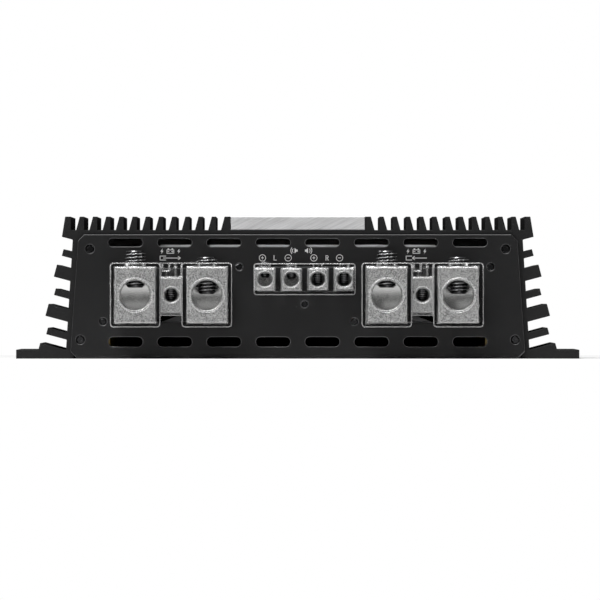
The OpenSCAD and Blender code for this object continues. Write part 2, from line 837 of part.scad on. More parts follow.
module transformer_cores()
  color([0.2, 0.35, 0.25]) coil_points() ring(coil_r, coil_hole_r, coil_h, 1);

module transformer_windings()
  color([0.75, 0.42, 0.2])
    coil_points() difference() {
      ring(coil_r + winding_t, coil_hole_r - winding_t, coil_h + 2 * winding_t, 2.4);
      ring(coil_r + 0.05, coil_hole_r - 0.05, coil_h + 0.1, 1);
    }

module output_inductors()
  color([0.78, 0.5, 0.25])
    for (side = [-1, 1])
      translate([side * (choke_r + 8), board_back - choke_r - 24, board_top + choke_h / 2])
        ring(choke_r, choke_hole_r, choke_h, 2.6);

module supply_capacitors()
  color([0.16, 0.18, 0.3])
    for (k = [0:can_count - 1]) {
      translate([(k - (can_count - 1) / 2) * can_pitch, board_front + 17, board_top])
        cylinder(d = can_d, h = can_h);
      translate([(k - (can_count - 1) / 2) * can_pitch, board_back - 52 - 2 * choke_r, board_top])
        cylinder(d = can_d, h = can_h);
    }

module transistor_points()
  for (k = [0:transistor_count - 1])
    translate([0, board_mid + (k - (transistor_count - 1) / 2) * transistor_pitch, 0]) children();

module power_transistors()
  color([0.15, 0.15, 0.15])
    both_sides() transistor_points() {
      on_wall(transistor_z) translate([-pad_t - transistor[0], -transistor[1] / 2, 0]) cube(transistor);
      for (k = [-1:1])
        translate([
          inner_x(transistor_z) - pad_t - transistor[0] / 2 - lead_w / 2,
          k * lead_pitch - lead_w / 2, board_top
        ]) cube([lead_w, lead_w, transistor_z + 1 - board_top]);
    }

module thermal_pads()
  color([0.8, 0.8, 0.75])
    both_sides() transistor_points() on_wall(transistor_z)
      translate([-pad_t, -transistor[1] / 2 - 0.5, -0.5])
        cube([pad_t, transistor[1] + 1, transistor[2] + 1]);

module clamp_bars()
  color("dimgray")
    both_sides() difference() {
      on_wall(clamp_z)
        translate([-pad_t - transistor[0] - clamp_bar[0], board_mid - clamp_bar[1] / 2 - 4,
          -clamp_bar[2] / 2])
          cube([clamp_bar[0], clamp_bar[1] + 8, clamp_bar[2]]);
      on_wall(clamp_z) clamp_screw_points() translate([-10, 0, 0])
        rotate([0, 90, 0]) cylinder(d = clamp_screw_d + 0.4, h = 12);
    }

module clamp_screws()
  color("silver")
    both_sides() on_wall(clamp_z) clamp_screw_points()
      translate([-pad_t - transistor[0] - clamp_bar[0], 0, 0]) rotate([0, -90, 0])
        pan_screw(clamp_screw_d, pad_t + transistor[0] + clamp_bar[0] + wall_t * 0.7, clamp_head);

// ---------- control end ----------

module phono_jacks()
  color([0.12, 0.12, 0.12])
    for (x = jack_x)
      difference() {
        union() {
          box_y(x, body_back - jack_body[1], board_top + jack_body[2] / 2, jack_body[0],
            jack_body[1], jack_body[2]);
          for (z = jack_z) rod_y(x, body_back - 1, z, jack_d - 2 * sleeve_t, jack_reach + plate_t + 1);
        }
        for (z = jack_z)
          rod_y(x, body_back - jack_floor, z, jack_pin_d, jack_reach + plate_t + jack_floor + 1);
      }

module phono_jack_sleeves()
  color([0.8, 0.66, 0.3])
    for (x = jack_x, z = jack_z)
      difference() {
        union() {
          rod_y(x, body_back, z, jack_d, jack_reach + plate_t);
          rod_y(x, control_face, z, jack_d + 2.4, sleeve_collar);
        }
        rod_y(x, body_back - 1, z, jack_d - 2 * sleeve_t + thread_gap, jack_reach + plate_t + 2);
      }

module pot_points()
  for (k = [0:pot_count - 1]) translate([pot_x + k * pot_pitch, 0, pot_z]) children();

// Solder legs from the underside of a part at height low down to the board
module legs(x, y, low, spread, count)
  for (k = [0:count - 1])
    translate([x + (k / (count - 1) - 0.5) * spread - leg_w / 2, y, board_top])
      cube([leg_w, leg_w, low - board_top + 0.5]);

module trimmer_bodies()
  color([0.2, 0.35, 0.6])
    for (k = [0:pot_count - 1]) {
      x = pot_x + k * pot_pitch;
      difference() {
        box_y(x, body_back - pot_body[1], pot_z, pot_body[0], pot_body[1], pot_body[2]);
        rod_y(x, body_back - pot_body[1] + pot_bush_l, pot_z, pot_shaft_d + 2 * shaft_gap,
          pot_body[1]);
      }
      legs(x, body_back - pot_body[1] + leg_inset, pot_z - pot_body[2] / 2, pot_body[0] - 3, 3);
    }

module trimmer(k)
  color([0.15, 0.15, 0.15])
    translate([pot_x + k * pot_pitch, body_back - pot_body[1] + pot_bush_l + 0.1, pot_z])
      difference() {
        rod_y(0, 0, 0, pot_shaft_d, pot_body[1] - pot_bush_l - 0.1 + plate_t + pot_reach);
        box_y(0, pot_body[1] - pot_bush_l - 0.1 + plate_t + pot_reach - slot_depth, 0,
          1, slot_depth + 1, pot_shaft_d + 1);
      }

module gain_trimmer() trimmer(0);
module low_pass_trimmer() trimmer(1);
module subsonic_trimmer() trimmer(2);
module bass_trimmer() trimmer(3);

module switch_body()
  color([0.6, 0.6, 0.62]) {
    difference() {
      box_y(switch_at[0], body_back - switch_size[1], switch_at[1], switch_size[0],
        switch_size[1], switch_size[2]);
      box_y(switch_at[0], body_back - switch_size[1] + switch_floor, switch_at[1],
        slider_size[0] + 2 * switch_travel + 2 * slide_gap, switch_size[1],
        slider_size[1] + 2 * slide_gap);
    }
    legs(switch_at[0], body_back - switch_size[1] + leg_inset, switch_at[1] - switch_size[2] / 2,
      switch_size[0] - 4, 3);
  }

module switch_slider()
  color([0.9, 0.9, 0.9])
    box_y(switch_at[0], body_back - switch_size[1] + switch_floor + slide_gap, switch_at[1],
      slider_size[0], switch_size[1] - switch_floor - slide_gap + plate_t + slider_reach,
      slider_size[1]);

module level_jack()
  color([0.12, 0.12, 0.12])
    difference() {
      box_y(level_at[0], body_back - level_size[1], level_at[1], level_size[0], level_size[1],
        level_size[2]);
      box_y(level_at[0], body_back - level_open[1], level_at[1], level_open[0],
        level_open[1] + 1, level_open[2]);
    }

module led_points()
  for (side = [-1, 1]) translate([led_at[0] + side * led_pitch / 2, 0, led_at[1]]) children();

module status_leds()
  color([0.3, 0.7, 1])
    led_points() {
      rod_y(0, body_back - 3, 0, led_d, plate_t + 3 + led_reach);
      rod_y(0, body_back - 3.6, 0, led_d + 0.8, 1);
      for (side = [-1, 1])
        translate([side * 0.7 - 0.25, body_back - 3.4, board_top - led_at[1]])
          cube([0.5, 0.5, led_at[1] - board_top]);
    }

heatsink_housing();
top_trim_plate();
trim_plate_screws();
bottom_cover();
bottom_cover_screws();
status_leds();
terminal_end_plate();
terminal_plate_screws();
control_end_plate();
control_plate_screws();
power_base_left();
power_base_right();
power_cover_left();
power_cover_right();
power_block_1();
power_block_2();
power_block_3();
power_block_4();
remote_block_left();
remote_block_right();
speaker_base();
speaker_cover();
speaker_block_1();
speaker_block_2();
speaker_block_3();
speaker_block_4();
terminal_base_screws();
power_set_screw_1();
power_set_screw_2();
power_set_screw_3();
power_set_screw_4();
remote_set_screw_left();
remote_set_screw_right();
speaker_set_screw_1();
speaker_set_screw_2();
speaker_set_screw_3();
speaker_set_screw_4();
bus_bars();
bus_bar_bolts();
main_circuit_board();
board_standoffs();
board_screws();
transformer_cores();
transformer_windings();
output_inductors();
supply_capacitors();
power_transistors();
thermal_pads();
clamp_bars();
clamp_screws();
phono_jacks();
phono_jack_sleeves();
trimmer_bodies();
gain_trimmer();
low_pass_trimmer();
subsonic_trimmer();
bass_trimmer();
switch_body();
switch_slider();
level_jack();
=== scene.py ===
"""Looks of a two-channel car power amplifier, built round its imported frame."""

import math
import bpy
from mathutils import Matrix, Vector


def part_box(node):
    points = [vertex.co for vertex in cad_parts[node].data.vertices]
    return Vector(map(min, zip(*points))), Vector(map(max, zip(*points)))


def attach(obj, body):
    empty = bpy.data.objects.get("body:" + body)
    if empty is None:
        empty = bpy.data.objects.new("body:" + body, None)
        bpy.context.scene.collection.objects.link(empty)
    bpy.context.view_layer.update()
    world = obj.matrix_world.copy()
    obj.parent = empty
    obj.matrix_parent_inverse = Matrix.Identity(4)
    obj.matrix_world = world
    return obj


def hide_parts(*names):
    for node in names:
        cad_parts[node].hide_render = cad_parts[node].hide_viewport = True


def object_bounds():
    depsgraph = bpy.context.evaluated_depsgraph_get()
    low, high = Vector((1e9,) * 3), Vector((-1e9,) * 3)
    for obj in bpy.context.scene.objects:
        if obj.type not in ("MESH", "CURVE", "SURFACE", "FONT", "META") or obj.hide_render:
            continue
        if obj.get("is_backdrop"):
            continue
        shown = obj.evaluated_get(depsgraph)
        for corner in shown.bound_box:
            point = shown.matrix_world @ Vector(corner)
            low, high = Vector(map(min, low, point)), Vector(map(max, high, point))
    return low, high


bl_info = {
    "name": "Car power amplifier",
    "version": (1, 0, 0),
    "blender": (4, 5, 0),
    "location": "View3D > Sidebar > Amplifier",
    "description": "Finishes and fine parts of a finned car power amplifier",
    "category": "Object",
}

import bmesh
import bpy
from bpy.props import FloatProperty, FloatVectorProperty, IntProperty, PointerProperty
from mathutils import Vector

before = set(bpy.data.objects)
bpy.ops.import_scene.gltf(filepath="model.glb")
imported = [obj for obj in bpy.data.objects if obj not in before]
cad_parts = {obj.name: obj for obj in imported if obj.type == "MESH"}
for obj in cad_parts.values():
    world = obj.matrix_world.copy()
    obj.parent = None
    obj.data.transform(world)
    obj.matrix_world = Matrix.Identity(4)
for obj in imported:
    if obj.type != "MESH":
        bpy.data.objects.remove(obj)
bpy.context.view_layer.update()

MM = 0.001
MERGE = 1e-6
# Attribute with the depth in the thread, read by the set screws' painted shade in the thread roots.
ROOTS = "thread_roots"
BOWL_RINGS = 8
LETTER, LINE = 1.7, 0.26
TRANSFORMER_HOLE, INDUCTOR_HOLE = 7.0 * MM, 3.6 * MM
TRIMMERS = ("gain_trimmer", "low_pass_trimmer", "subsonic_trimmer", "bass_trimmer")
TO_FRONT, TO_BACK = Vector((0, -1, 0)), Vector((0, 1, 0))
UP, DOWN = Vector((0, 0, 1)), Vector((0, 0, -1))
BRUSHED_ACROSS = Vector((0.378, -0.45, -0.81))


# ---------- node trees ----------


def joining(operation, swapped=False):
    """A method that joins a wire to a value or to another wire."""
    def join(self, other):
        return self.maths(operation, *((other, self) if swapped else (self, other)))
    return join


class Wire:
    """An output socket that takes part in Python expressions, each of which adds its Math node."""

    def __init__(self, graph, socket):
        self.graph = graph
        self.socket = socket

    def other(self, key):
        """Another output of the same node."""
        return Wire(self.graph, self.socket.node.outputs[key])

    def maths(self, operation, *given):
        return self.graph.add("ShaderNodeMath", {"operation": operation}, dict(enumerate(given)))

    def clamped(self):
        settings = {"operation": "ADD", "use_clamp": True}
        return self.graph.add("ShaderNodeMath", settings, {0: self, 1: 0.0})

    def __abs__(self):
        return self.maths("ABSOLUTE", self)

    __add__, __radd__ = joining("ADD"), joining("ADD", True)
    __sub__, __rsub__ = joining("SUBTRACT"), joining("SUBTRACT", True)
    __mul__, __rmul__ = joining("MULTIPLY"), joining("MULTIPLY", True)
    __truediv__, __pow__, __lt__ = joining("DIVIDE"), joining("POWER"), joining("LESS_THAN")


class Graph:
    """Adds nodes to one tree, from a node's type, its settings and its inputs' values or wires."""

    def __init__(self, tree):
        self.tree = tree

    def add(self, kind, settings=None, inputs=None, output=0):
        node = self.tree.nodes.new(kind)
        for name, setting in (settings or {}).items():
            setattr(node, name, setting)
        for key, given in (inputs or {}).items():
            socket = node.inputs[key]
            for one in given if isinstance(given, list) else [given]:
                if isinstance(one, Wire):
                    self.tree.links.new(one.socket, socket)
                else:
                    socket.default_value = one
        return Wire(self, node.outputs[output]) if len(node.outputs) else None

    def vector(self, x, y, z):
        return self.add("ShaderNodeCombineXYZ", {}, {0: x, 1: y, 2: z})


class Finish:
    """One material: where a point lies on the object, its patterns and its surface."""

    def __init__(self, name):
        self.material = bpy.data.materials.new(name)
        self.material.use_nodes = True
        self.material.node_tree.nodes.clear()
        self.graph = Graph(self.material.node_tree)
        self.colours = bpy.context.scene.amp_finishes
        self.place = self.graph.add("ShaderNodeTexCoord", output="Object")

    def drawn_out(self, lengths, turn=(0, 0, 0)):
        """The place, turned and stretched, so that a pattern runs out into strokes."""
        inputs = {"Vector": self.place, "Rotation": turn, "Scale": lengths}
        return self.graph.add("ShaderNodeMapping", {"vector_type": "TEXTURE"}, inputs)

    def noise(self, size, detail=2.0, place=None):
        """A cloudy pattern whose patches are about this size."""
        inputs = {"Vector": place or self.place, "Scale": 1 / size, "Detail": detail}
        return self.graph.add("ShaderNodeTexNoise", {}, inputs)

    def blend(self, mask, first, second):
        """The first colour where the mask is 0 and the second where it is 1."""
        inputs = {0: mask, 6: first, 7: second}
        return self.graph.add("ShaderNodeMix", {"data_type": "RGBA"}, inputs, output=2)

    def shades(self, mask, colour, dark, light=1.0):
        """A darker shade of a colour where the mask is 0 and a lighter one where it is 1."""
        return self.blend(mask, shaded(colour, dark), shaded(colour, light))

    def bump(self, height, depth):
        """A relief of the given depth."""
        inputs = {"Strength": 1.0, "Distance": depth, "Height": height}
        return self.graph.add("ShaderNodeBump", {}, inputs)

    def shader(self, inputs):
        return self.graph.add("ShaderNodeBsdfPrincipled", {}, inputs)

    def closed(self, shader):
        self.graph.add("ShaderNodeOutputMaterial", {}, {"Surface": shader})


def shaded(colour, by=1.0):
    """A colour made lighter or darker, with its alpha."""
    return (*[channel * by for channel in colour[:3]], 1.0)


# ---------- finishes ----------
# Each function fills the material that it is given, and returns its shader.


def black_anodised(made):
    """Satin black extrusion, with faint die lines along its length."""
    die_lines = made.noise(0.35 * MM, 3.0, made.drawn_out((1, 900, 1)))
    clouds = made.noise(9 * MM, 3.0)
    grain = made.noise(0.12 * MM, 2.0)
    return made.shader({
        "Base Color": made.shades(clouds * 0.6 + die_lines * 0.4, made.colours.anodised, 0.7, 1.35),
        "Roughness": 0.36 + clouds * 0.12 + die_lines * 0.08,
        "Specular IOR Level": 0.26,
        "Normal": made.bump(grain * 0.5 + die_lines, 0.012 * MM),
    })


def black_powder(made):
    """Fine black powder coat of the end plates and the bottom cover."""
    clouds = made.noise(14 * MM, 4.0)
    peel = made.noise(0.5 * MM, 2.0)
    grain = made.noise(0.11 * MM, 2.0)
    return made.shader({
        "Base Color": made.shades(clouds, made.colours.powder, 0.75, 1.3),
        "Roughness": 0.4 + clouds * 0.1 + grain * 0.06,
        "Specular IOR Level": 0.26,
        "Normal": made.bump(peel * 0.7 + grain * 0.5, 0.014 * MM),
    })


def brushed_aluminium(made):
    """Clear anodised aluminium, brushed aslant."""
    aslant = made.drawn_out((34, 34, 1), turn_to(BRUSHED_ACROSS))
    strokes = made.noise(0.3 * MM, 3.0, aslant)
    broad = made.noise(1.1 * MM, 3.0, aslant)
    clouds = made.noise(26 * MM, 2.0)
    brushed = (strokes * 1.6 + broad * 1.4 - 1.0).clamped()
    return made.shader({
        "Base Color": made.shades(brushed, made.colours.trim, 0.72),
        "Metallic": 1.0,
        "Roughness": 0.34 + strokes * 0.2 + clouds * 0.08,
        "Normal": made.bump(strokes + broad * 0.8, 0.03 * MM),
    })


def black_zinc(made):
    """Black plated steel of the panel screws, bare where a driver has turned them."""
    wear = ((made.noise(0.9 * MM, 4.0) - 0.56) * 7.0).clamped()
    grain = made.noise(0.15 * MM, 2.0)
    return made.shader({
        "Base Color": made.blend(wear, (0.06, 0.06, 0.062, 1), (0.22, 0.22, 0.225, 1)),
        "Metallic": 1.0,
        "Roughness": 0.08 + grain * 0.08,
        "Normal": made.bump(grain, 0.008 * MM),
    })


def bright_zinc(made):
    """Bright zinc plated steel of the inner screws and bolts."""
    clouds = made.noise(1.6 * MM, 3.0)
    return made.shader({
        "Base Color": made.blend(clouds, (0.52, 0.53, 0.54, 1), (0.72, 0.73, 0.74, 1)),
        "Metallic": 1.0,
        "Roughness": 0.2 + clouds * 0.2,
        "Normal": made.bump(made.noise(0.2 * MM), 0.006 * MM),
    })


def clear_plastic(made, transmission, roughness):
    """Clear moulded plastic, which lets lamp light through to the metal behind it."""
    colour = made.colours.plastic
    plastic = made.shader({
        "Base Color": shaded(colour),
        "Transmission Weight": transmission,
        "IOR": 1.57,
        "Roughness": roughness + made.noise(0.3 * MM, 2.0) * 0.08,
        "Normal": made.bump(made.noise(2.2 * MM, 2.0), 0.06 * MM),
    })
    passed = made.graph.add("ShaderNodeBsdfTransparent", {}, {"Color": shaded(colour, 0.94)})
    is_lamp = made.graph.add("ShaderNodeLightPath", output="Is Shadow Ray")
    return made.graph.add("ShaderNodeMixShader", {}, {0: is_lamp, 1: plastic, 2: passed})


def blasted_nickel(made):
    """Nickel plated blocks, grainy from blasting."""
    grain = made.noise(0.42 * MM, 2.0)
    fine = made.noise(0.2 * MM, 1.0)
    sparkle = ((grain * 0.6 + fine * 0.4 - 0.4) * 5.4).clamped()
    return made.shader({
        "Base Color": made.shades(sparkle, made.colours.blocks, 0.28),
        "Metallic": 1.0,
        "Roughness": 0.34 + made.noise(4 * MM, 2.0) * 0.1,
        "Normal": made.bump(grain + fine * 0.5, 0.15 * MM),
    })


def plated_steel(made):
    """Zinc plated set screws, with painted shade that darkens them down in the thread."""
    clouds = made.noise(0.8 * MM, 3.0)
    painted_root_shade = made.graph.add("ShaderNodeAttribute", {"attribute_name": ROOTS}, output="Fac")
    crests = made.blend(clouds, (0.42, 0.42, 0.43, 1), (0.78, 0.78, 0.79, 1))
    return made.shader({
        # Painted shade: the thread roots are blended to near black, where shade falls in the thread.
        "Base Color": made.blend(painted_root_shade * 0.95, crests, (0.03, 0.03, 0.031, 1)),
        "Metallic": 1.0,
        "Roughness": 0.16 + clouds * 0.16,
        "Normal": made.bump(made.noise(0.18 * MM), 0.008 * MM),
    })


def moulded(made, colour, roughness=0.45, texture=0.35 * MM, depth=0.02 * MM, coat=0.0):
    """Plain moulded plastic with a fine spark texture."""
    sparks = made.noise(texture, 2.0)
    clouds = made.noise(20 * texture, 3.0)
    return made.shader({
        "Base Color": made.shades(clouds, colour, 0.82, 1.12),
        "Roughness": roughness + clouds * 0.1 - sparks * 0.06,
        "Coat Weight": coat,
        "Normal": made.bump(sparks, depth),
    })


def plated(made, colour, roughness=0.25, streak=(1, 1, 1)):
    """Rolled or plated metal with faint streaks and clouds."""
    streaks = made.noise(0.4 * MM, 3.0, made.drawn_out(streak))
    clouds = made.noise(3 * MM, 3.0)
    return made.shader({
        "Base Color": made.shades(clouds * 0.6 + streaks * 0.4, colour, 0.7),
        "Metallic": 1.0,
        "Roughness": roughness + clouds * 0.12 + streaks * 0.08,
        "Normal": made.bump(streaks, 0.006 * MM),
    })


def solder_mask(made):
    """Green lacquered board, with tracks that stand up slightly under the lacquer."""
    colour = made.colours.board
    tracks = made.graph.add(
        "ShaderNodeTexBrick",
        {"offset": 0.37, "squash": 1.6, "squash_frequency": 3},
        {"Vector": made.place, "Scale": 60.0, "Mortar Size": 0.035, "Mortar Smooth": 0.1},
        output="Fac",
    )
    clouds = made.noise(6 * MM, 3.0)
    lacquer = made.shades(tracks, colour, 1.0, 2.1)
    return made.shader({
        "Base Color": made.blend(clouds * 0.5, lacquer, shaded(colour, 0.6)),
        "Roughness": 0.24 + clouds * 0.14,
        "Coat Weight": 0.4,
        "Normal": made.bump(tracks + made.noise(0.5 * MM) * 0.3, 0.035 * MM),
    })


def enamelled_wire(made):
    """Enamelled copper wire."""
    clouds = made.noise(2.5 * MM, 3.0)
    return made.shader({
        "Base Color": made.blend(clouds, (0.42, 0.13, 0.035, 1), (0.66, 0.27, 0.09, 1)),
        "Metallic": 0.9,
        "Roughness": 0.22 + clouds * 0.14,
        "Coat Weight": 0.6,
        "Normal": made.bump(made.noise(0.3 * MM), 0.01 * MM),
    })


def lens(made, colour):
    """Diffused lens of a status light."""
    clouds = made.noise(0.6 * MM, 2.0)
    return made.shader({
        "Base Color": made.shades(clouds, colour, 0.8),
        "Roughness": 0.15 + clouds * 0.1,
        "Coat Weight": 0.5,
        "Normal": made.bump(clouds, 0.01 * MM),
    })


def printed_white(made):
    """White screen printing, with the marks of the screen's mesh."""
    mesh_marks = made.noise(0.12 * MM, 2.0)
    return made.shader({
        "Base Color": made.shades((mesh_marks * 2.4 - 0.9).clamped(), made.colours.ink, 0.75),
        "Roughness": 0.5 + mesh_marks * 0.2,
        "Normal": made.bump(mesh_marks, 0.006 * MM),
    })


def floor_paint(made):
    """Plain pale matt floor."""
    clouds = made.noise(40 * MM, 2.0)
    return made.shader({
        "Base Color": made.blend(clouds, (0.88, 0.88, 0.88, 1), (0.91, 0.91, 0.91, 1)),
        "Roughness": 0.8 + clouds * 0.1,
        "Normal": made.bump(made.noise(2 * MM, 2.0), 0.01 * MM),
    })


FINISHES = {
    "black anodised": (black_anodised,),
    "black powder coat": (black_powder,),
    "brushed aluminium": (brushed_aluminium,),
    "black zinc": (black_zinc,),
    "bright zinc": (bright_zinc,),
    "clear plastic": (clear_plastic, 1.0, 0.03),
    "clear edge": (clear_plastic, 0.8, 0.12),
    "blasted nickel": (blasted_nickel,),
    "plated steel": (plated_steel,),
    "solder mask": (solder_mask,),
    "enamelled wire": (enamelled_wire,),
    "printed white": (printed_white,),
    "floor paint": (floor_paint,),
    # Painted highlight: a lighter grey metal on the end plates' rounded edges, so that they show a bright
    # line.
    "painted edge highlight": (plated, (0.13, 0.13, 0.132), 0.3),
    "milled nickel": (plated, (0.6, 0.6, 0.59), 0.14, (3, 1, 1)),
    "copper bar": (plated, (0.86, 0.47, 0.3), 0.24, (1, 1, 30)),
    "brass": (plated, (0.82, 0.62, 0.28), 0.24),
    "tin": (plated, (0.72, 0.73, 0.74), 0.22),
    "gold": (plated, (0.95, 0.7, 0.3), 0.16),
    "clamp steel": (plated, (0.5, 0.51, 0.53), 0.3, (1, 60, 1)),
    "black moulding": (moulded, (0.018, 0.018, 0.019)),
    "ferrite": (moulded, (0.05, 0.14, 0.07), 0.4, 0.8 * MM, 0.03 * MM),
    "yellow core": (moulded, (0.55, 0.42, 0.06), 0.4, 0.8 * MM, 0.03 * MM),
    "capacitor sleeve": (moulded, (0.3, 0.3, 0.31), 0.22, 1.5 * MM, 0.01 * MM, 0.5),
    "sleeve stripe": (moulded, (0.03, 0.03, 0.033), 0.3, 1.5 * MM, 0.01 * MM),
    "transistor epoxy": (moulded, (0.016, 0.016, 0.017), 0.55, 0.3 * MM, 0.03 * MM),
    "grey silicone": (moulded, (0.42, 0.43, 0.44), 0.7, 0.6 * MM, 0.02 * MM),
    "blue trimmer case": (moulded, (0.02, 0.07, 0.26), 0.35),
    "trimmer shaft": (moulded, (0.035, 0.035, 0.037), 0.4),
    "white insulator": (moulded, (0.75, 0.75, 0.73), 0.4),
    "red insulator": (moulded, (0.5, 0.025, 0.02), 0.4),
    "chip ceramic": (moulded, (0.22, 0.17, 0.12), 0.5),
    "green lens": (lens, (0.06, 0.5, 0.1)),
    "red lens": (lens, (0.5, 0.03, 0.02)),
}


def finish(name):
    """The material of that name, made the first time that it is asked for."""
    if name not in bpy.data.materials:
        made = Finish(name)
        fill, *given = FINISHES[name]
        made.closed(fill(made, *given))
    return bpy.data.materials[name]


# ---------- pieces ----------


def new_piece(name, data):
    """A new object in the scene, from its mesh, light or camera."""
    piece = bpy.data.objects.new(name, data)
    bpy.context.scene.collection.objects.link(piece)
    return piece


def worked_in(piece):
    """Makes the piece's modifiers part of its mesh."""
    ready = piece.evaluated_get(bpy.context.evaluated_depsgraph_get())
    mesh = bpy.data.meshes.new_from_object(ready)
    old = piece.data
    piece.modifiers.clear()
    piece.data = mesh
    bpy.data.meshes.remove(old)
    return piece


def smooth(mesh, angle=32):
    """Smooth shading, with edges sharper than the angle kept."""
    mesh.polygons.foreach_set("use_smooth", [True] * len(mesh.polygons))
    mesh.set_sharp_from_angle(angle=math.radians(angle))


def settled(piece, material=None, replaces=(), body="root", slot=None):
    """Gives a finished piece its material and body, and hides the CAD nodes that it stands for."""
    if material:
        piece.data.materials.clear()
        piece.data.materials.append(finish(material))
    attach(piece, body)
    if replaces:
        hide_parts(*replaces)
    return piece


def cad_shape(node):
    """A CAD node's mesh with its points joined, to work on."""
    shape = bmesh.new()
    shape.from_mesh(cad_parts[node].data)
    bmesh.ops.remove_doubles(shape, verts=shape.verts, dist=MERGE)
    return shape


def mesh_of(shape, name):
    """The mesh of a shape that is worked on no more."""
    mesh = bpy.data.meshes.new(name)
    shape.to_mesh(mesh)
    shape.free()
    return mesh


def joined_copy(node):
    """A copy of a CAD node's mesh with its points joined and its flat faces whole."""
    shape = cad_shape(node)
    bmesh.ops.dissolve_limit(
        shape, angle_limit=math.radians(0.6), use_dissolve_boundaries=False,
        verts=shape.verts, edges=shape.edges,
    )
    return mesh_of(shape, node)


def eased(node, width, material, body="root", slot=None, segments=2, share=None, edges=None, bowl=None):
    """Stands for a CAD node with the same shape and its edges rounded by the given width.

    share gives each edge its part of the width, from the places of its two ends. edges names a
    finish for the rounded edges alone, and bowl is a call that hollows the mesh before they are
    made, with the finish of the hollow.
    """
    mesh = joined_copy(node)
    piece = new_piece(node + "_eased", mesh)
    mesh.materials.append(finish(material))
    if bowl:
        bowl[0](mesh)
    if edges or bowl:
        mesh.materials.append(finish(edges or bowl[1]))
    mesh.polygons.foreach_set("use_smooth", [True] * len(mesh.polygons))
    rounding = piece.modifiers.new("edges", "BEVEL")
    rounding.width = width
    rounding.segments = segments
    rounding.limit_method = "WEIGHT"
    rounding.material = 1 if edges else 0
    weights = mesh.attributes.new("bevel_weight_edge", "FLOAT", "EDGE")
    shape = bmesh.new()
    shape.from_mesh(mesh)
    for edge in shape.edges:
        if edge.calc_face_angle(0) > math.radians(35):
            ends = [point.co for point in edge.verts]
            weights.data[edge.index].value = share(*ends) if share else 1.0
            mesh.edges[edge.index].use_edge_sharp = weights.data[edge.index].value == 0
    shape.free()
    rounding.use_clamp_overlap = False
    normals = piece.modifiers.new("normals", "WEIGHTED_NORMAL")
    normals.weight = 100
    normals.keep_sharp = True
    worked_in(piece)
    return settled(piece, None, [node], body, slot)


def solids(node):
    """The points of each separate solid of a CAD node, in order along X, Y and Z."""
    shape = cad_shape(node)
    left = set(shape.verts)
    found = []
    while left:
        queue = [left.pop()]
        group = []
        while queue:
            point = queue.pop()
            group.append(point.co.copy())
            for edge in point.link_edges:
                neighbour = edge.other_vert(point)
                if neighbour in left:
                    left.remove(neighbour)
                    queue.append(neighbour)
        found.append(group)
    shape.free()
    middles = [sum(group, Vector()) / len(group) for group in found]
    order = [tuple(round(c, 4) for c in middle) for middle in middles]
    return [group for place, group in sorted(zip(order, found), key=lambda pair: pair[0])]


def corners(group):
    """The lowest and the highest X, Y and Z of some points."""
    return [Vector([pick(point[i] for point in group) for i in range(3)]) for pick in (min, max)]


def middle_of(low, high):
    return (low + high) / 2


def tip_of(group, axis):
    """The middle of a solid's far end along an axis."""
    top = max(point.dot(axis) for point in group)
    return middle_of(*corners([point for point in group if point.dot(axis) > top - 0.02 * MM]))


# ---------- repeated parts ----------

SOCKETS = {
    float: "NodeSocketFloat",
    int: "NodeSocketInt",
    tuple: "NodeSocketVector",
    str: "NodeSocketMaterial",
}


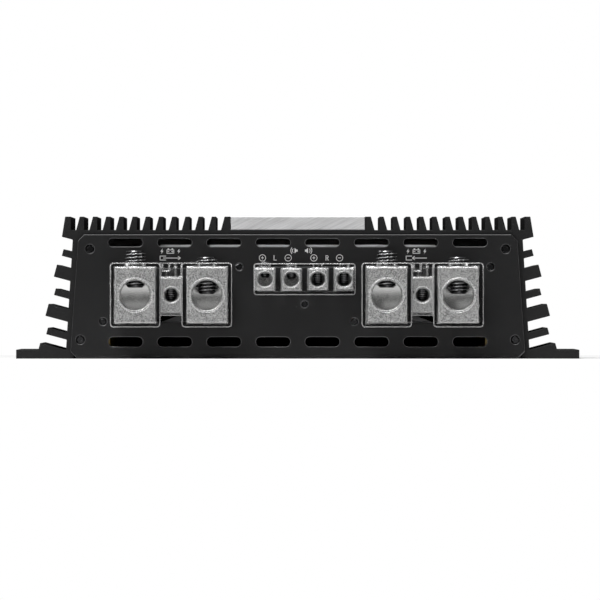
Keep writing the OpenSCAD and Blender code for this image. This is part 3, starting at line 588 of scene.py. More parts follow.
class Recipe:
    """A Geometry Nodes tree with named sizes, for parts at the points of the mesh it is put on."""

    def __init__(self, name, sizes):
        self.tree = bpy.data.node_groups.new(name, "GeometryNodeTree")
        self.graph = Graph(self.tree)
        self.tree.interface.new_socket("Places", in_out="INPUT", socket_type="NodeSocketGeometry")
        for size, default in sizes.items():
            kind = SOCKETS[type(default)]
            socket = self.tree.interface.new_socket(size, in_out="INPUT", socket_type=kind)
            if kind != "NodeSocketMaterial":
                socket.default_value = default
        self.tree.interface.new_socket("Geometry", in_out="OUTPUT", socket_type="NodeSocketGeometry")
        self.given = self.graph.add("NodeGroupInput")

    def size(self, name):
        return self.given.other(name)

    def here(self):
        """X, Y and Z of each point."""
        place = self.graph.add("GeometryNodeInputPosition")
        x = self.graph.add("ShaderNodeSeparateXYZ", {}, {0: place})
        return x, x.other(1), x.other(2)

    def moved(self, geometry, *place):
        """The geometry with its points at other places, from their X, Y and Z."""
        inputs = {"Geometry": geometry, "Position": self.graph.vector(*place)}
        return self.graph.add("GeometryNodeSetPosition", {}, inputs)

    def shifted(self, geometry, by=(0, 0, 0), turn=(0, 0, 0), scale=(1, 1, 1)):
        inputs = {"Geometry": geometry, "Translation": by, "Rotation": turn, "Scale": scale}
        return self.graph.add("GeometryNodeTransform", {}, inputs)

    def raised(self, geometry, height):
        return self.shifted(geometry, self.graph.vector(0.0, 0.0, height))

    def joined(self, *parts):
        return self.graph.add("GeometryNodeJoinGeometry", {}, {0: list(reversed(parts))})

    def cut(self, body, *tools):
        settings = {"operation": "DIFFERENCE", "solver": "EXACT"}
        return self.graph.add("GeometryNodeMeshBoolean", settings, {0: body, 1: list(tools)})

    def rod(self, radius, length, sides, rings=1):
        """A closed cylinder on the origin, standing on Z = 0."""
        inputs = {"Vertices": sides, "Side Segments": rings, "Fill Segments": 1,
                  "Radius": radius, "Depth": length}
        rod = self.graph.add("GeometryNodeMeshCylinder", {"fill_type": "NGON"}, inputs)
        return self.raised(rod, length * 0.5)

    def box(self, *size):
        return self.graph.add("GeometryNodeMeshCube", {}, {"Size": self.graph.vector(*size)})

    def cross(self, width, thickness, depth):
        """Two tapering blades that cross, for the recess of a screw."""
        blade = self.box(width, thickness, depth)
        x, y, z = self.here()
        widen = 0.8 + (z / depth) * 0.5
        cross = self.joined(blade, self.shifted(blade, turn=(0, 0, math.pi / 2)))
        return self.moved(cross, x * widen, y * widen, z)

    def threaded(self, radius, length, pitch, depth, sides, point):
        """A rod with a helical thread, a chamfered top and a chamfered point."""
        rod = self.rod(radius, length, sides, self.rings(length / pitch * 10.0))
        x, y, z = self.here()
        turns = z / pitch - x.maths("ARCTAN2", y, x) / (2 * math.pi)
        flank = (abs(turns.maths("FRACT", turns) * 2.0 - 1.0) * 1.7 - 0.35).clamped()
        crest = radius - depth * flank
        chamfer = z.maths("MINIMUM", radius - point + z, radius - depth * 1.1 + (length - z))
        factor = crest.maths("MINIMUM", crest, chamfer) / radius
        cut = self.moved(rod, x * factor, y * factor, z)
        # The depth in the thread is kept for the set screws' painted shade in the thread roots.
        return self.graph.add("GeometryNodeStoreNamedAttribute", {}, {
            "Geometry": cut, "Name": ROOTS, "Value": flank})

    def rings(self, number):
        """The nearest whole number, for a socket that counts."""
        return self.graph.add("FunctionNodeFloatToInt", {"rounding_mode": "ROUND"}, {0: number})

    def placed(self, part, turn=(0, 0, 0), spin=0.0, seed=1):
        """The part at each place, turned with the group and spun about its own axis at random."""
        inputs = {"Points": self.given.other("Places"), "Instance": part, "Rotation": turn}
        copies = self.graph.add("GeometryNodeInstanceOnPoints", {}, inputs)
        if not spin:
            return copies
        limits = {"Min": (0.0, 0.0, -spin), "Max": (0.0, 0.0, spin), "Seed": seed}
        lean = self.graph.add("FunctionNodeRandomValue", {"data_type": "FLOAT_VECTOR"}, limits)
        inputs = {"Instances": copies, "Rotation": lean, "Local Space": True}
        return self.graph.add("GeometryNodeRotateInstances", {}, inputs)

    def coated(self, geometry, material, where=True):
        inputs = {"Geometry": geometry, "Material": material, "Selection": where}
        return self.graph.add("GeometryNodeSetMaterial", {}, inputs)

    def done(self, geometry, material=None):
        """Closes the tree with real geometry, all in one material if it is given."""
        real = self.graph.add("GeometryNodeRealizeInstances", {}, {0: geometry})
        self.graph.add("NodeGroupOutput", {}, {0: self.coated(real, material) if material else real})
        return self.tree


def built(name, recipe, places, sizes):
    """A new piece: the recipe at each place, as a plain mesh."""
    mesh = bpy.data.meshes.new(name)
    mesh.from_pydata([tuple(place) for place in places], [], [])
    piece = new_piece(name, mesh)
    steps = piece.modifiers.new(recipe.name, "NODES")
    steps.node_group = recipe
    sockets = {item.name: item.identifier
               for item in recipe.interface.items_tree if item.in_out == "INPUT"}
    for size, value in sizes.items():
        steps[sockets[size]] = finish(value) if isinstance(value, str) else value
    worked_in(piece)
    smooth(piece.data)
    return piece


def recipe(name, build):
    """The tree of that name, built once."""
    return bpy.data.node_groups.get(name) or build(name)


def pan_screw(name):
    """Pan head screw with a cross recess, its head on +Z and its seat at the place."""
    tree = Recipe(name, {
        "Head Diameter": 5 * MM, "Head Height": 1.5 * MM, "Shank Diameter": 3 * MM,
        "Length": 8 * MM, "Pitch": 0.5 * MM, "Turn": (0.0, 0.0, 0.0), "Material": "",
    })
    radius = tree.size("Head Diameter") * 0.5
    height = tree.size("Head Height")
    head = tree.rod(radius, height, 40, 7)
    x, y, z = tree.here()
    inward = (1.0 - (z / height * 0.95) ** 3.0) ** 0.5
    head = tree.moved(head, x * inward, y * inward, z)
    recess = tree.cross(radius * 1.12, radius * 0.26, height * 1.3)
    head = tree.cut(head, tree.raised(recess, height * 1.05))
    shank_radius = tree.size("Shank Diameter") * 0.5
    depth = tree.size("Pitch") * 0.5
    shank = tree.threaded(shank_radius, tree.size("Length"), tree.size("Pitch"), depth, 18, depth)
    screw = tree.joined(head, tree.raised(shank, 0.0 - tree.size("Length")))
    spun = tree.placed(screw, tree.size("Turn"), spin=0.9, seed=7)
    return tree.done(spun, tree.size("Material"))


def set_screw(name):
    """Threaded grub screw with a hexagonal socket, standing on its tip at the place."""
    tree = Recipe(name, {
        "Diameter": 8 * MM, "Length": 14 * MM, "Pitch": 1.25 * MM, "Thread Depth": 0.7 * MM,
        "Point": 1.3 * MM, "Socket Width": 4 * MM, "Socket Depth": 5 * MM, "Material": "",
    })
    length = tree.size("Length")
    body = tree.threaded(tree.size("Diameter") * 0.5, length, tree.size("Pitch"),
                         tree.size("Thread Depth"), 40, tree.size("Point"))
    socket = tree.rod(tree.size("Socket Width") * (0.5 / math.cos(math.pi / 6)),
                      tree.size("Socket Depth") * 2.0, 6)
    body = tree.cut(body, tree.raised(socket, length - tree.size("Socket Depth")))
    return tree.done(tree.placed(body), tree.size("Material"))


def turn_to(axis):
    """The rotation that brings +Z onto an axis."""
    return tuple(Vector((0, 0, 1)).rotation_difference(Vector(axis)).to_euler())


def screws(node, groups, head, head_h, shank, pitch, material, slot):
    """Stands for a CAD node of pan head screws. Groups are (solids, axis out of the head)."""
    parts = []
    for number, (members, axis) in enumerate(groups):
        seats = [tip_of(group, axis) - axis * head_h for group in members]
        reach = [max(p.dot(axis) for p in group) - min(p.dot(axis) for p in group) for group in members]
        sizes = {
            "Head Diameter": head, "Head Height": head_h, "Shank Diameter": shank,
            "Length": max(reach) - head_h, "Pitch": pitch, "Turn": turn_to(axis), "Material": material,
        }
        name = node + ("_made" if len(groups) == 1 else f"_made_{number + 1}")
        piece = built(name, recipe("Pan head screw", pan_screw), seats, sizes)
        parts.append(settled(piece, None, [node], "root", slot))
    return parts


# ---------- sizes and colours ----------


def a_length(name, description, default, least=0.0):
    return FloatProperty(name=name, description=description, default=default, min=least, unit="LENGTH")


def a_strength(name, description, default):
    return FloatProperty(name=name, description=description, default=default, min=0.0)


def a_colour(name, description, default):
    return FloatVectorProperty(name=name, description=description, default=default, subtype="COLOR")


def a_count(name, description, default):
    return IntProperty(name=name, description=description, default=default, min=8)


class HousingSizes(bpy.types.PropertyGroup):
    """Edges and walls of the housing."""

    fin_edge: a_length("Fin edge", "Rounding of the extrusion's edges", 0.16 * MM)
    plate_edge: a_length("Plate edge", "Rounding of the end plates' edges", 0.26 * MM)
    trim_edge: a_length("Trim edge", "Rounding of the brushed plate's edges", 0.35 * MM)
    wall_lean: FloatProperty(
        name="Wall lean", description="Inward lean of the side walls",
        default=math.radians(3.5), subtype="ANGLE")


class TerminalSizes(bpy.types.PropertyGroup):
    """Threads, edges and printing of the terminal end."""

    power_pitch: a_length("Power thread pitch", "Pitch of the big set screws", 1.25 * MM, 0.2 * MM)
    small_pitch: a_length("Small thread pitch", "Pitch of the small set screws", 0.7 * MM, 0.2 * MM)
    cover_edge: a_length("Cover edge", "Rounding of the clear covers' edges", 0.4 * MM)
    block_edge: a_length("Block edge", "Rounding of the clamping blocks' wire entries", 0.5 * MM)
    bore_depth: a_length("Bore depth", "Depth of the big wire bores' floors", 15.3 * MM)
    bore_hollow: a_length("Bore hollow", "Hollow of the big wire bores' floors", 0.5 * MM)
    ink_thickness: a_length("Ink thickness", "Thickness of the screen printing", 0.02 * MM)


class InsideSizes(bpy.types.PropertyGroup):
    """Windings of the coils."""

    transformer_turns: a_count("Transformer turns", "Turns of wire on each transformer", 30)
    inductor_turns: a_count("Inductor turns", "Turns of wire on each output inductor", 22)
    wire: a_length("Wire", "Diameter of the transformers' wire", 1.5 * MM, 0.3 * MM)


class FinishColours(bpy.types.PropertyGroup):
    """Colours of the main finishes."""

    anodised: a_colour("Anodised", "Colour of the finned extrusion", (0.0085, 0.0085, 0.0088))
    powder: a_colour("Powder coat", "Colour of the end plates", (0.0065, 0.0065, 0.0068))
    trim: a_colour("Trim", "Colour of the brushed plate", (0.86, 0.86, 0.865))
    plastic: a_colour("Clear plastic", "Tint of the terminal covers", (0.93, 0.93, 0.93))
    blocks: a_colour("Blocks", "Colour of the clamping blocks", (0.66, 0.66, 0.655))
    board: a_colour("Board", "Colour of the circuit board's lacquer", (0.012, 0.09, 0.03))
    ink: a_colour("Ink", "Colour of the printed marks", (0.72, 0.72, 0.72))


class StudioSettings(bpy.types.PropertyGroup):
    """Camera, surround and lights."""

    distance: a_length("Camera distance", "From the camera to the terminal end", 10.8, 1.0)
    view_width: a_length("View width", "Width that the camera sees at the terminal end", 0.228, 0.05)
    aim_x: a_length("Aim across", "Middle of the view, across the object", 0.86 * MM, -0.5)
    aim_z: a_length("Aim height", "Height of the camera and of its aim", 22.3 * MM)
    floor_width: a_length("Floor width", "Width of the floor", 1.1, 0.3)
    surround: a_strength("Surround", "Brightness of the room round the object", 0.1)
    top_light: a_strength("Top light", "Strength of the overhead light", 3.2)
    key_light: a_strength("Key light", "Power of the big light up on the left", 3.0)
    side_light: a_strength("Side lights", "Power of each upright light beside the front", 0.25)
    inside_light: a_strength("Inside light", "Power of the small light behind the slots", 0.022)
    front_light: a_strength("Front light", "Power of the low light in front", 0.04)


# ---------- housing ----------


class AMP_OT_housing(bpy.types.Operator):
    """Finned extrusion and the sheet that closes it below"""

    bl_idname = "amp.housing"
    bl_label = "Housing"

    def execute(self, context):
        sizes = context.scene.amp_housing
        eased("heatsink_housing", sizes.fin_edge, "black anodised", slot="black_anodised")
        eased("bottom_cover", sizes.fin_edge, "black powder coat", slot="black_sheet")
        return {"FINISHED"}


class AMP_OT_trim_plate(bpy.types.Operator):
    """Brushed plate between the fin banks"""

    bl_idname = "amp.trim_plate"
    bl_label = "Trim plate"

    def execute(self, context):
        eased("top_trim_plate", context.scene.amp_housing.trim_edge, "brushed aluminium",
              slot="brushed_aluminium", segments=3)
        return {"FINISHED"}


class AMP_OT_end_plates(bpy.types.Operator):
    """Slotted plates at both ends"""

    bl_idname = "amp.end_plates"
    bl_label = "End plates"

    def execute(self, context):
        edge = context.scene.amp_housing.plate_edge
        for node in ("terminal_end_plate", "control_end_plate"):
            # The rounded edges get the painted edge highlight finish, a lighter copy of the black.
            eased(node, edge, "black powder coat", slot="black_sheet", edges="painted edge highlight")
        return {"FINISHED"}


# ---------- terminals ----------


class AMP_OT_covers(bpy.types.Operator):
    """Clear moulded covers and the black insulators behind the end plate"""

    bl_idname = "amp.covers"
    bl_label = "Terminal covers"

    def execute(self, context):
        edge = context.scene.amp_terminals.cover_edge
        for node in ("power_cover_left", "power_cover_right", "speaker_cover"):
            eased(node, edge, "clear plastic", slot="clear_plastic", segments=3, edges="clear edge")
        for node in ("power_base_left", "power_base_right", "speaker_base"):
            eased(node, edge / 2, "black moulding", slot="black_moulding")
        return {"FINISHED"}


class AMP_OT_blocks(bpy.types.Operator):
    """Clamping blocks of the power, remote and speaker terminals"""

    bl_idname = "amp.blocks"
    bl_label = "Clamping blocks"

    def execute(self, context):
        sizes = context.scene.amp_terminals
        edge = sizes.block_edge
        names = [f"power_block_{i}" for i in range(1, 5)] + [f"speaker_block_{i}" for i in range(1, 5)]
        names += ["remote_block_left", "remote_block_right"]
        for node in names:
            low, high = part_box(node)

            def share(start, end):
                """All of the width round the wire's entry, half on outer edges and none inside."""
                if max(start.y, end.y) > low.y + 0.05 * MM:
                    return 0.5 if on_side(start, low, high) and on_side(end, low, high) else 0.0
                return 0.5 if on_side(start, low, high) else 1.0

            def bowl(mesh):
                hollow_floor(mesh, low.y + sizes.bore_depth, sizes.bore_hollow)

            eased(node, edge, "blasted nickel", slot="nickel_blocks", share=share,
                  bowl=(bowl, "milled nickel") if node.startswith("power") else None)
        return {"FINISHED"}


def hollow_floor(mesh, floor_y, hollow):
    """Dishes the round floor of a wire bore, as the mill leaves it."""
    shape = bmesh.new()
    shape.from_mesh(mesh)
    floors = [face for face in shape.faces
              if abs(face.calc_center_median().y - floor_y) < 0.1 * MM and face.normal.y < -0.9]
    if len(floors) > 1:
        floors = bmesh.ops.dissolve_faces(shape, faces=floors)["region"]
    rim = list(floors[0].verts)
    centre = floors[0].calc_center_bounds()
    shape.faces.remove(floors[0])
    loops = [rim]
    for ring in range(1, BOWL_RINGS):
        out = 1 - ring / BOWL_RINGS
        sunk = Vector((0, hollow * (1 - out * out), 0))
        loops.append([shape.verts.new(centre + (point.co - centre) * out + sunk) for point in rim])
    middle = shape.verts.new(centre + Vector((0, hollow, 0)))
    for k in range(len(rim)):
        j = (k + 1) % len(rim)
        dish = [shape.faces.new((loops[-1][k], loops[-1][j], middle))]
        for outer, inner in zip(loops, loops[1:]):
            dish.append(shape.faces.new((outer[k], outer[j], inner[j], inner[k])))
        for face in dish:
            face.material_index = 1
    shape.to_mesh(mesh)
    shape.free()


def on_side(point, low, high):
    """Whether a point lies on a left, right, upper or lower side of a box."""
    near = 0.05 * MM
    return min(point.x - low.x, high.x - point.x, point.z - low.z, high.z - point.z) < near


class AMP_OT_set_screws(bpy.types.Operator):
    """Threaded set screws, each on its own body"""

    bl_idname = "amp.set_screws"
    bl_label = "Set screws"

    def execute(self, context):
        sizes = context.scene.amp_terminals
        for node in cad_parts:
            if "set_screw" not in node:
                continue
            low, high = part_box(node)
            wide = high.x - low.x
            pitch = sizes.power_pitch if node.startswith("power") else sizes.small_pitch
            middle = middle_of(low, high)
            given = {
                "Diameter": wide, "Length": high.z - low.z, "Point": 0.075 * wide + 0.7 * MM,
                "Pitch": pitch, "Thread Depth": pitch * 0.62, "Socket Width": wide / 2,
                "Socket Depth": (high.z - low.z) * 0.37, "Material": "plated steel",
            }
            piece = built(node + "_threaded", recipe("Set screw", set_screw),
                          [(middle.x, middle.y, low.z)], given)
            settled(piece, None, [node], node, "plated_set_screws")
        return {"FINISHED"}


class AMP_OT_panel_screws(bpy.types.Operator):
    """Pan head screws of the plates, the terminals, the board and the clamps"""

    bl_idname = "amp.panel_screws"
    bl_label = "Screws"

    def execute(self, context):
        lean = context.scene.amp_housing.wall_lean
        black, bright = ("black zinc", "black_screws"), ("bright zinc", "bright_screws")
        for node, axis, head, head_h, shank, pitch, look in (
            ("terminal_plate_screws", TO_FRONT, 4.6, 1.4, 2.9, 0.5, black),
            ("control_plate_screws", TO_BACK, 4.6, 1.4, 2.9, 0.5, black),
            ("terminal_base_screws", TO_FRONT, 4.0, 1.3, 2.5, 0.45, black),
            ("trim_plate_screws", DOWN, 5.0, 1.6, 2.9, 0.5, bright),
            ("bottom_cover_screws", DOWN, 5.0, 0.55, 2.9, 0.5, black),
            ("board_screws", UP, 5.0, 1.8, 2.5, 0.45, bright),
        ):
            screws(node, [(solids(node), axis)], head * MM, head_h * MM, shank * MM, pitch * MM, *look)
        both = solids("clamp_screws")
        groups = []
        for side in (-1, 1):
            members = [group for group in both if sum(group, Vector()).x * side > 0]
            groups.append((members, Vector((-side * math.cos(lean), 0, -math.sin(lean)))))
        screws("clamp_screws", groups, 5.4 * MM, 1.8 * MM, 2.9 * MM, 0.5 * MM, *bright)
        return {"FINISHED"}


# ---------- printing ----------


class Printing:
    """Flat marks as thick as the ink, drawn in millimetres across and up from a middle."""

    def __init__(self, face_y, outward):
        self.shape = bmesh.new()
        self.levels = (face_y, face_y + outward * bpy.context.scene.amp_terminals.ink_thickness)
        self.middle = (0, 0)

    def at(self, x, z):
        """Sets the middle that the next marks are drawn from."""
        self.middle = (x, z)
        return self

    def area(self, outline):
        """One filled area, from its corners in order."""
        x, z = self.middle
        lower, upper = [
            [self.shape.verts.new((x + across * MM, y, z + up * MM)) for across, up in outline]
            for y in self.levels
        ]
        self.shape.faces.new(upper)
        self.shape.faces.new(lower[::-1])
        for i in range(len(outline)):
            j = (i + 1) % len(outline)
            self.shape.faces.new((lower[i], lower[j], upper[j], upper[i]))

    def stroke(self, start, end, width):
        start, end = Vector(start), Vector(end)
        along = (end - start).normalized() * width / 2
        across = Vector((-along.y, along.x))
        start, end = start - along, end + along
        self.area([start - across, end - across, end + across, start + across])

    def path(self, points, width):
        for start, end in zip(points, points[1:]):
            self.stroke(start, end, width)

    def arc(self, radius, start, end, steps, width, up=0.0):
        """Part of a ring, between two angles in degrees."""
        inner, outer = radius - width / 2, radius + width / 2
        angles = [math.radians(start + (end - start) * k / steps) for k in range(steps + 1)]
        for a, b in zip(angles, angles[1:]):
            self.area([(r * math.cos(t), up + r * math.sin(t))
                       for r, t in ((inner, a), (outer, a), (outer, b), (inner, b))])

    def sign(self, plus, arm, width):
        """A plus or minus sign."""
        self.stroke((-arm, 0), (arm, 0), width)
        if plus:
            self.stroke((0, -arm), (0, arm), width)

    def piece(self, name):
        bmesh.ops.recalc_face_normals(self.shape, faces=self.shape.faces)
        return settled(new_piece(name, mesh_of(self.shape, name)), "printed white")


def letter_l(marks):
    tall, wide = LETTER / 2, LETTER / 4
    marks.path([(-wide, tall), (-wide, -tall), (wide, -tall)], LINE)


def letter_r(marks):
    tall, wide = LETTER / 2, LETTER / 4
    marks.stroke((-wide, -tall), (-wide, tall), LINE)
    marks.stroke((-wide, tall), (0, tall), LINE)
    marks.stroke((-wide, 0), (0, 0), LINE)
    marks.arc(wide, -90, 90, 8, LINE, wide)
    marks.stroke((0, 0), (wide, -tall), LINE)


def loudspeaker(marks, side):
    """A loudspeaker that points to one side, with two sound waves."""
    step = 0.42 * side
    marks.area([(-2 * step, -0.4), (-step, -0.4), (-step, 0.4), (-2 * step, 0.4)][::side])
    marks.area([(-0.9 * step, -0.4), (0.7 * step, -1.05),
                (0.7 * step, 1.05), (-0.9 * step, 0.4)][::side])
    middle = 0 if side > 0 else 180
    for radius in (1.1, 1.75):
        marks.arc(radius, middle - 42, middle + 42, 8, 0.24)


def battery(marks):
    """A battery with its two poles."""
    marks.path([(-1.3, -0.65), (1.3, -0.65), (1.3, 0.65), (-1.3, 0.65), (-1.3, -0.65)], 0.24)
    for side in (-0.75, 0.75):
        marks.stroke((side, 0.85), (side, 0.95), 0.5)
        marks.stroke((side - 0.25, 0), (side + 0.25, 0), 0.2)
    marks.stroke((0.75, -0.25), (0.75, 0.25), 0.2)


def bolt(marks):
    """A flash of lightning, from two equal halves."""
    for turn in (1, -1):
        half = ((0.25, 1.0), (-0.55, -0.15), (-0.05, -0.15), (0.05, 0.175))
        marks.area([(turn * across, turn * up) for across, up in half])


def arrow_with_box(marks, outwards):
    """An arrow that leaves a box or goes into it."""
    marks.path([(-1.8, 0.75), (-3.9, 0.75), (-3.9, -0.75), (-1.8, -0.75)], LINE)
    tail, head, back = (-2.6, 3.8, 3.05) if outwards else (3.8, -1.5, -0.75)
    marks.stroke((tail, 0), (head, 0), LINE)
    marks.path([(back, 0.6), (head, 0), (back, -0.6)], LINE)


class AMP_OT_printing(bpy.types.Operator):
    """White marks on both end plates"""

    bl_idname = "amp.printing"
    bl_label = "Printed marks"

    def execute(self, context):
        self.terminal_marks()
        self.control_marks()
        return {"FINISHED"}

    def terminal_marks(self):
        """Polarity and channels over the speaker terminals, supply signs between the others."""
        marks = Printing(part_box("terminal_end_plate")[0].y, -1)
        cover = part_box("speaker_cover")
        middle, row = middle_of(*cover).x, cover[1].z + 2.05 * MM
        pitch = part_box("speaker_block_2")[0].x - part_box("speaker_block_1")[0].x
        for step, plus in ((-1.5, True), (-0.5, False), (0.5, True), (1.5, False)):
            marks.at(middle - 1.35 * MM + step * pitch * 0.977, row).sign(plus, 0.42, 0.24)
            marks.arc(1.22, 0, 360, 28, 0.22)
        letter_l(marks.at(middle - 11.2 * MM, row))
        letter_r(marks.at(middle + 8.55 * MM, row))
        loudspeaker(marks.at(middle - 3.5 * MM, row + 2.75 * MM), -1)
        loudspeaker(marks.at(middle + 1.0 * MM, row + 2.75 * MM), 1)
        for node, outwards, aside in (
            ("power_cover_left", True, 0.3),
            ("power_cover_right", False, 2.3),
        ):
            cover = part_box(node)
            x, top = middle_of(*cover).x - aside * MM, cover[1].z
            for side in (-3.2, 3.2):
                bolt(marks.at(x + side * MM, top + 4.35 * MM))
            battery(marks.at(x, top + 4.2 * MM))
            arrow_with_box(marks.at(x, top + 1.75 * MM), outwards)
        marks.piece("terminal_marks")

    def control_marks(self):
        """Dials round the trimmers, rings round the jacks and points beside the switch."""
        marks = Printing(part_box("control_end_plate")[1].y, 1)
        for node in TRIMMERS:
            middle = middle_of(*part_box(node))
            marks.at(middle.x, middle.z)
            for k in range(11):
                turn = math.radians(-150 + 30 * k)
                ray = Vector((math.sin(turn), math.cos(turn)))
                marks.stroke(ray * 4.7, ray * (5.4 if k % 5 else 6.0), 0.22)
            for side, plus in ((-4.3, False), (4.3, True)):
                marks.at(middle.x + side * MM, middle.z - 6.3 * MM).sign(plus, 0.6, 0.25)
        for group in solids("phono_jack_sleeves"):
            middle = middle_of(*corners(group))
            marks.at(middle.x, middle.z).arc(6.2, 0, 360, 40, 0.22)
        middle = middle_of(*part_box("switch_slider"))
        for side in (-1, 1):
            marks.at(middle.x + side * 5.6 * MM, middle.z).area([(0, 0.7), (side, 0), (0, -0.7)])
        marks.piece("control_marks")


# ---------- inside ----------


def toroid_winding(name):
    """Turns of wire round a ring core that lies flat, centred on each place."""
    tree = Recipe(name, {
        "Outer Radius": 25 * MM, "Inner Radius": 7 * MM, "Height": 24 * MM, "Wire": 1.5 * MM,
        "Turns": 30, "Material": "",
    })
    graph = tree.graph
    wire = tree.size("Wire")
    width = tree.size("Outer Radius") - tree.size("Inner Radius") - wire
    height = tree.size("Height") - wire
    loop = graph.add("GeometryNodeCurvePrimitiveQuadrilateral", {}, {"Width": width, "Height": height})
    rounded = {"Curve": loop, "Count": 5, "Radius": wire * 1.3}
    loop = graph.add("GeometryNodeFilletCurve", {"mode": "POLY"}, rounded)
    circle = graph.add("GeometryNodeCurvePrimitiveCircle", {}, {"Resolution": 8, "Radius": wire * 0.5})
    turn = graph.add("GeometryNodeCurveToMesh", {}, {"Curve": loop, "Profile Curve": circle})
    middle = (tree.size("Outer Radius") + tree.size("Inner Radius")) * 0.5
    turn = tree.shifted(turn, graph.vector(middle, 0.0, 0.0), (math.pi / 2, 0, 0))
    stations = graph.add("GeometryNodeMeshLine", {}, {
        "Count": tree.size("Turns"), "Offset": (0.0, 0.0, 0.0)})
    index = graph.add("GeometryNodeInputIndex")
    angle = index * (2 * math.pi * 0.93) / tree.size("Turns")
    turns = graph.add("GeometryNodeInstanceOnPoints", {}, {
        "Points": stations, "Instance": turn, "Rotation": graph.vector(0.0, 0.0, angle)})
    return tree.done(tree.placed(turns), tree.size("Material"))


def can_capacitor(name):
    """Electrolytic capacitor on each place: sleeve with its stripe and crimp, and a scored top."""
    tree = Recipe(name, {
        "Diameter": 16 * MM, "Height": 30 * MM, "Sleeve": "", "Stripe": "", "Top": "",
    })
    radius, height = tree.size("Diameter") * 0.5, tree.size("Height")
    can = tree.rod(radius, height - 0.15 * MM, 48, 40)
    x, y, z = tree.here()
    crimp = 1.0 - ((1.0 - abs(z - 3.2 * MM) / (0.9 * MM)).clamped()) * 0.06
    edge = ((height - 0.15 * MM - z) / (0.8 * MM)).clamped()
    factor = crimp * (1.0 - ((1.0 - edge) ** 2.0) * 0.07)
    can = tree.moved(can, x * factor, y * factor, z)
    can = tree.coated(can, tree.size("Sleeve"))
    striped = (abs(x.maths("ARCTAN2", y, x)) < 0.3) * (z < height - 0.9 * MM)
    can = tree.coated(can, tree.size("Stripe"), striped)
    lid = tree.rod(radius * 0.8, height - 0.02 * MM, 40)
    score = tree.cross(radius * 1.1, 0.25 * MM, 0.3 * MM)
    lid = tree.coated(tree.cut(lid, tree.raised(score, height)), tree.size("Top"))
    return tree.done(tree.placed(tree.joined(can, lid), spin=math.pi, seed=4))


def chip_parts(name):
    """Small chip parts with tinned ends, one on each place, lying along X or Y."""
    tree = Recipe(name, {"Length": 2.0 * MM, "Body": "", "Ends": ""})
    length = tree.size("Length")
    body = tree.coated(tree.box(length * 0.7, length * 0.58, length * 0.3), tree.size("Body"))
    end = tree.coated(tree.box(length * 0.2, length * 0.62, length * 0.33), tree.size("Ends"))
    ends = [tree.shifted(end, tree.graph.vector(length * by, 0.0, 0.0)) for by in (-0.4, 0.4)]
    chip = tree.raised(tree.joined(body, *ends), length * 0.165)
    return tree.done(tree.placed(chip, spin=0.04, seed=5))


class AMP_OT_circuit_board(bpy.types.Operator):
    """Circuit board with its posts, chips and bus bars"""

    bl_idname = "amp.circuit_board"
    bl_label = "Circuit board"

    def execute(self, context):
        eased("main_circuit_board", 0.1 * MM, "solder mask", slot="green_board")
        eased("board_standoffs", 0.12 * MM, "brass", slot="brass_posts")
        eased("bus_bars", 0.15 * MM, "copper bar", slot="copper_bars")
        eased("bus_bar_bolts", 0.2 * MM, "bright zinc", slot="bright_screws")
        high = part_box("main_circuit_board")[1]
        rows = [(i * 3.4 * MM, high.y - 24 * MM - j * 2.6 * MM, high.z)
                for i in range(-8, 9) for j in range(3)]
        chips = built("chip_parts", recipe("Chip parts", chip_parts), rows,
                     {"Length": 2.0 * MM, "Body": "chip ceramic", "Ends": "tin"})
        settled(chips, slot="green_board")
        return {"FINISHED"}


class AMP_OT_power_parts(bpy.types.Operator):
    """Transformers, inductors, capacitors and clamped transistors"""

    bl_idname = "amp.power_parts"
    bl_label = "Power parts"

    def execute(self, context):
        inside = context.scene.amp_inside
        eased("transformer_cores", 0.3 * MM, "ferrite", slot="ferrite")
        for node, turns, wire, hole, name, slot in (
            ("transformer_windings", inside.transformer_turns, inside.wire, TRANSFORMER_HOLE,
             "transformer_turns", "copper_windings"),
            ("output_inductors", inside.inductor_turns, inside.wire * 0.9, INDUCTOR_HOLE,
             "inductor_turns", "choke"),
        ):
            rings = [corners(group) for group in solids(node)]
            low, high = rings[0]
            sizes = {
                "Outer Radius": (high.x - low.x) / 2, "Inner Radius": hole, "Height": high.z - low.z,
                "Wire": wire, "Turns": turns, "Material": "enamelled wire",
            }
            places = [middle_of(*ring) for ring in rings]
            piece = built(name, recipe("Toroid winding", toroid_winding), places, sizes)
            settled(piece, None, [node], "root", slot)
        settled(ring_cores("inductor_cores", "output_inductors", 1.5 * MM), "yellow core", slot="choke")
        cans = [corners(group) for group in solids("supply_capacitors")]
        low, high = cans[0]
        places = [middle_of(a, b) * Vector((1, 1, 0)) + Vector((0, 0, a.z)) for a, b in cans]
        sizes = {"Diameter": high.x - low.x, "Height": high.z - low.z,
                 "Sleeve": "capacitor sleeve", "Stripe": "sleeve stripe", "Top": "tin"}
        piece = built("capacitor_cans", recipe("Can capacitor", can_capacitor), places, sizes)
        settled(piece, None, ["supply_capacitors"], "root", "capacitor_sleeve")
        transistors = eased("power_transistors", 0.25 * MM, "transistor epoxy", slot="transistor_case")
        leads_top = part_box("main_circuit_board")[1].z + 3.6 * MM
        parted(transistors, ["tin"], lambda place: 1 if place.z < leads_top else 0)
        eased("thermal_pads", 0.05 * MM, "grey silicone", slot="thermal_pad")
        eased("clamp_bars", 0.25 * MM, "clamp steel", slot="clamp_steel")
        return {"FINISHED"}


def parted(piece, materials, choose):
    """Gives a piece more materials, each face by the place of its middle."""
    for name in materials:
        piece.data.materials.append(finish(name))
    for face in piece.data.polygons:
        face.material_index = choose(face.center)


